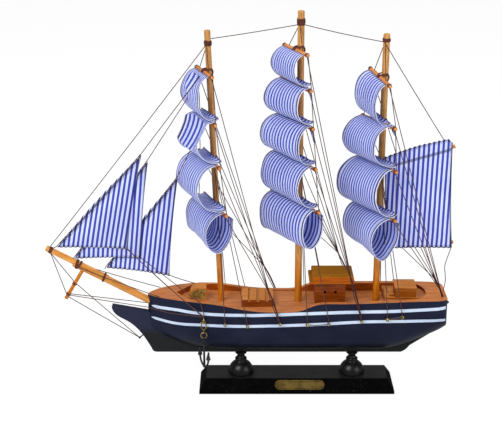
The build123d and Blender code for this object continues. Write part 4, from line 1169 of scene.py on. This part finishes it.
sheets = Tubes()
eye = EYES[-1][0]
flying = clews["flying_jib"]
sheets.line(flying, eye + vec(-0.6, 0, 0.4), 0.8)
sheets.line(flying + vec(0.6, -0.3, 0), eye + vec(0.4, 0, 0.4), 1.8)
sheets.add(join([clews["outer_jib"], vec(-78.0, -22.5, 82.8), eye + vec(0.8, 0.2, 0.6)], 0.3))
sheets.line(clews["inner_jib"], vec(-84.0, 19.4, 82.8), 0.3)
slack = [
    (123.4, -1.6, 123.2), (120.6, -1.8, 114.0), (118.8, -1.6, 106.0),
    (119.6, -1.2, 98.0), (120.0, -0.6, 92.0), (118.6, 0.0, 83.6),
]
sheets.add(catmull(slack, 40)[0])
sheets.finish("sheet_threads", "thread", "sail_sheets")

# --- lashings


def outline(points):
    """Convex outline of flat points, in order."""
    pts = sorted(set((round(p[0], 4), round(p[1], 4)) for p in points))

    def half(seq):
        out = []
        for p in seq:
            while len(out) >= 2:
                (ax, ay), (bx, by) = out[-2:]
                if (bx - ax) * (p[1] - ay) - (by - ay) * (p[0] - ax) > 0:
                    break
                out.pop()
            out.append(p)
        return out

    lower, upper = half(pts), half(pts[::-1])
    return lower[:-1] + upper[:-1]


WIRE = 0.27
lash = Tubes()
for name, y in YARDS.items():
    mast = y.mast
    z = y.centre[2]
    r_mast = mast_r(mast, z) + WIRE
    r_yard = YARD_R + WIRE
    mast_off = (mast_at(mast, z) - y.centre).dot(y.forward)
    for slant in (-1, 1):
        tilt = radians(42) * slant
        # directions in the loop's plane: forward, and a slanted one across the mast
        cross = y.along * cos(tilt) + y.up * sin(tilt)
        flat_normal = np.cross(y.forward, cross)
        ring = []
        for k in range(48):
            c, s = cos(2 * pi * k / 48), sin(2 * pi * k / 48)
            ring.append((mast_off + r_mast * c, r_mast * s / cos(tilt)))
            ring.append((r_yard * c, r_yard * s / abs(sin(tilt))))
        # the yard's own section only matters near the mast
        loop = outline([(a, b) for a, b in ring if abs(b) < r_mast / cos(tilt) + 0.1])
        dense = []
        for a, b in zip(loop, loop[1:] + loop[:1]):
            a, b = np.array(a), np.array(b)
            steps = max(1, int(np.linalg.norm(b - a) / 0.8))
            dense += [a + (b - a) * s / steps for s in range(steps)]
        centre = np.mean(dense, axis=0)
        for turn in range(4):
            shift = (turn - 1.5) * 0.54
            swell = 0.05 * turn + (0.25 if slant > 0 else 0.0)
            path = []
            for p in dense + dense[:1]:
                q = p + (p - centre) / (np.linalg.norm(p - centre) + 1e-9) * swell
                spot = y.centre + y.forward * q[0] + cross * q[1] + flat_normal * shift
                path.append(spot)
            lash.add(path, WIRE, 6)
    for side in (-1, 1):
        lash.coil_about(yard_spot(name, side), y.along, 1.0, 1.31 + 0.2, 0.24, 0.46)

for mast, height in MASTHEAD.items():
    axis = unit(MASTS[mast]["high"] - MASTS[mast]["low"])
    centre = mast_at(mast, height)
    wound = WOUND[mast]
    radius = mast_r(mast, height)
    lash.coil_about(centre, axis, wound, radius + 0.24, 0.30, 0.56)
    lash.coil(centre + axis * wound * 0.7, centre - axis * wound * 0.5, radius + 0.6, 0.26, 0.9)

sprit_axis = vec(-cos(SPRIT_TILT), 0, sin(SPRIT_TILT))
sprit_up = vec(sin(SPRIT_TILT), 0, cos(SPRIT_TILT))


def sprit_spot(x):
    return vec(x, 0, 76.3 + (-121.3 - x) * tan(SPRIT_TILT))


lash.coil_about(sprit_spot(-199.5) + sprit_up * 1.2, sprit_axis, 1.2, 2.4 + 0.24, 0.28, 0.54)
for x, turns, slant in ((-178.5, 4, 0.8), (-176.9, 3, -0.7), (-157.0, 3, 0.5)):
    for turn in range(turns):
        along = sprit_axis * (turn - (turns - 1) / 2) * 0.54
        middle = sprit_spot(x) + along + sprit_up * 0.45
        path = []
        for k in range(33):
            a = 2 * pi * k / 32
            shift = slant * sin(a) + (k / 32 - 0.5) * 0.5
            round_it = vec(0, 1, 0) * 3.22 * cos(a) + sprit_up * 3.8 * sin(a)
            path.append(middle + round_it + sprit_axis * shift)
        lash.add(path, WIRE, 6)
striker = vec(-16.0, 0, -27.0)
for share in (0.52, 0.86):
    spot = vec(-172.6, 0, 104.4) + striker * share
    lash.coil_about(spot, unit(striker), 0.9, 1.45 + 0.24, 0.26, 0.52)
lash.finish("lashing_coils", "lash", "rope_lashings")
knots.finish("seizing_coils", "lash")

# --- floor, light, camera

floor_mesh = bpy.data.meshes.new("studio_floor")
floor_mesh.from_pydata([(-3, -3, 0), (3, -3, 0), (3, 3, 0), (-3, 3, 0)], [], [(0, 1, 2, 3)])
floor = bpy.data.objects.new("studio_floor", floor_mesh)
SCENE.collection.objects.link(floor)
floor.location = (0, 0, -0.00005)
paper = Nodes("studio_floor_paper")
rays = paper.node("LightPath").outputs
tone = paper.mix(paper.cloud(90), (0.86, 0.86, 0.86, 1), (0.90, 0.90, 0.90, 1))
tone = paper.mix(rays["Is Glossy Ray"], tone, (0.25, 0.25, 0.25, 1))
paper.set(Base_Color=tone, Roughness=0.9, Specular_IOR_Level=0.1)
glow = paper.node("Emission", Color=(1.02, 1.02, 1.02, 1))
seen = paper.mul(rays["Is Camera Ray"], 0.88)
paper.show(seen, paper.bsdf.outputs[0], glow.outputs[0])
floor_mesh.materials.append(paper.mat)

# White behind the object, dimmer as light and dimmer still in reflections
world = bpy.data.worlds.new("studio")
SCENE.world = world
world.use_nodes = True
tree = world.node_tree
background = tree.nodes["Background"]
rays = tree.nodes.new("ShaderNodeLightPath").outputs
brightness = tree.nodes.new("ShaderNodeMapRange")
tree.links.new(rays["Is Camera Ray"], brightness.inputs["Value"])
brightness.inputs["To Min"].default_value = 0.66
brightness.inputs["To Max"].default_value = 1.05
dimmer = tree.nodes.new("ShaderNodeMath")
dimmer.operation = "MULTIPLY_ADD"
tree.links.new(rays["Is Glossy Ray"], dimmer.inputs[0])
dimmer.inputs[1].default_value = -0.46
tree.links.new(brightness.outputs[0], dimmer.inputs[2])
background.inputs[0].default_value = (1, 1, 1, 1)
tree.links.new(dimmer.outputs[0], background.inputs[1])


def area(name, place, target, size, power):
    light = bpy.data.lights.new(name, "AREA")
    light.shape = "RECTANGLE"
    light.size = light.size_y = size
    light.energy = power
    obj = bpy.data.objects.new(name, light)
    SCENE.collection.objects.link(obj)
    obj.location = place
    obj.rotation_euler = (Vector(target) - Vector(place)).to_track_quat("-Z", "Y").to_euler()


area("key", (-0.9, -1.1, 1.3), (0, 0, 0.12), 0.9, 26)
area("fill", (1.2, -0.9, 0.7), (0, 0, 0.12), 0.8, 8)
area("top", (0.0, 0.3, 1.6), (0, 0, 0.1), 1.2, 10)

SENSOR, FOCAL_PIXELS, PICTURE_WIDTH, CAMERA_PITCH = 36.0, 1200.0, 502.0, 18.5
camera = bpy.data.cameras.new("camera")
camera.sensor_width = SENSOR
camera.lens = SENSOR * FOCAL_PIXELS / PICTURE_WIDTH
camera_obj = bpy.data.objects.new("camera", camera)
SCENE.collection.objects.link(camera_obj)
camera_obj.location = (-0.03766, -0.90730, 0.45264)
camera_obj.rotation_euler = (radians(90 - CAMERA_PITCH), 0, 0)
SCENE.camera = camera_obj
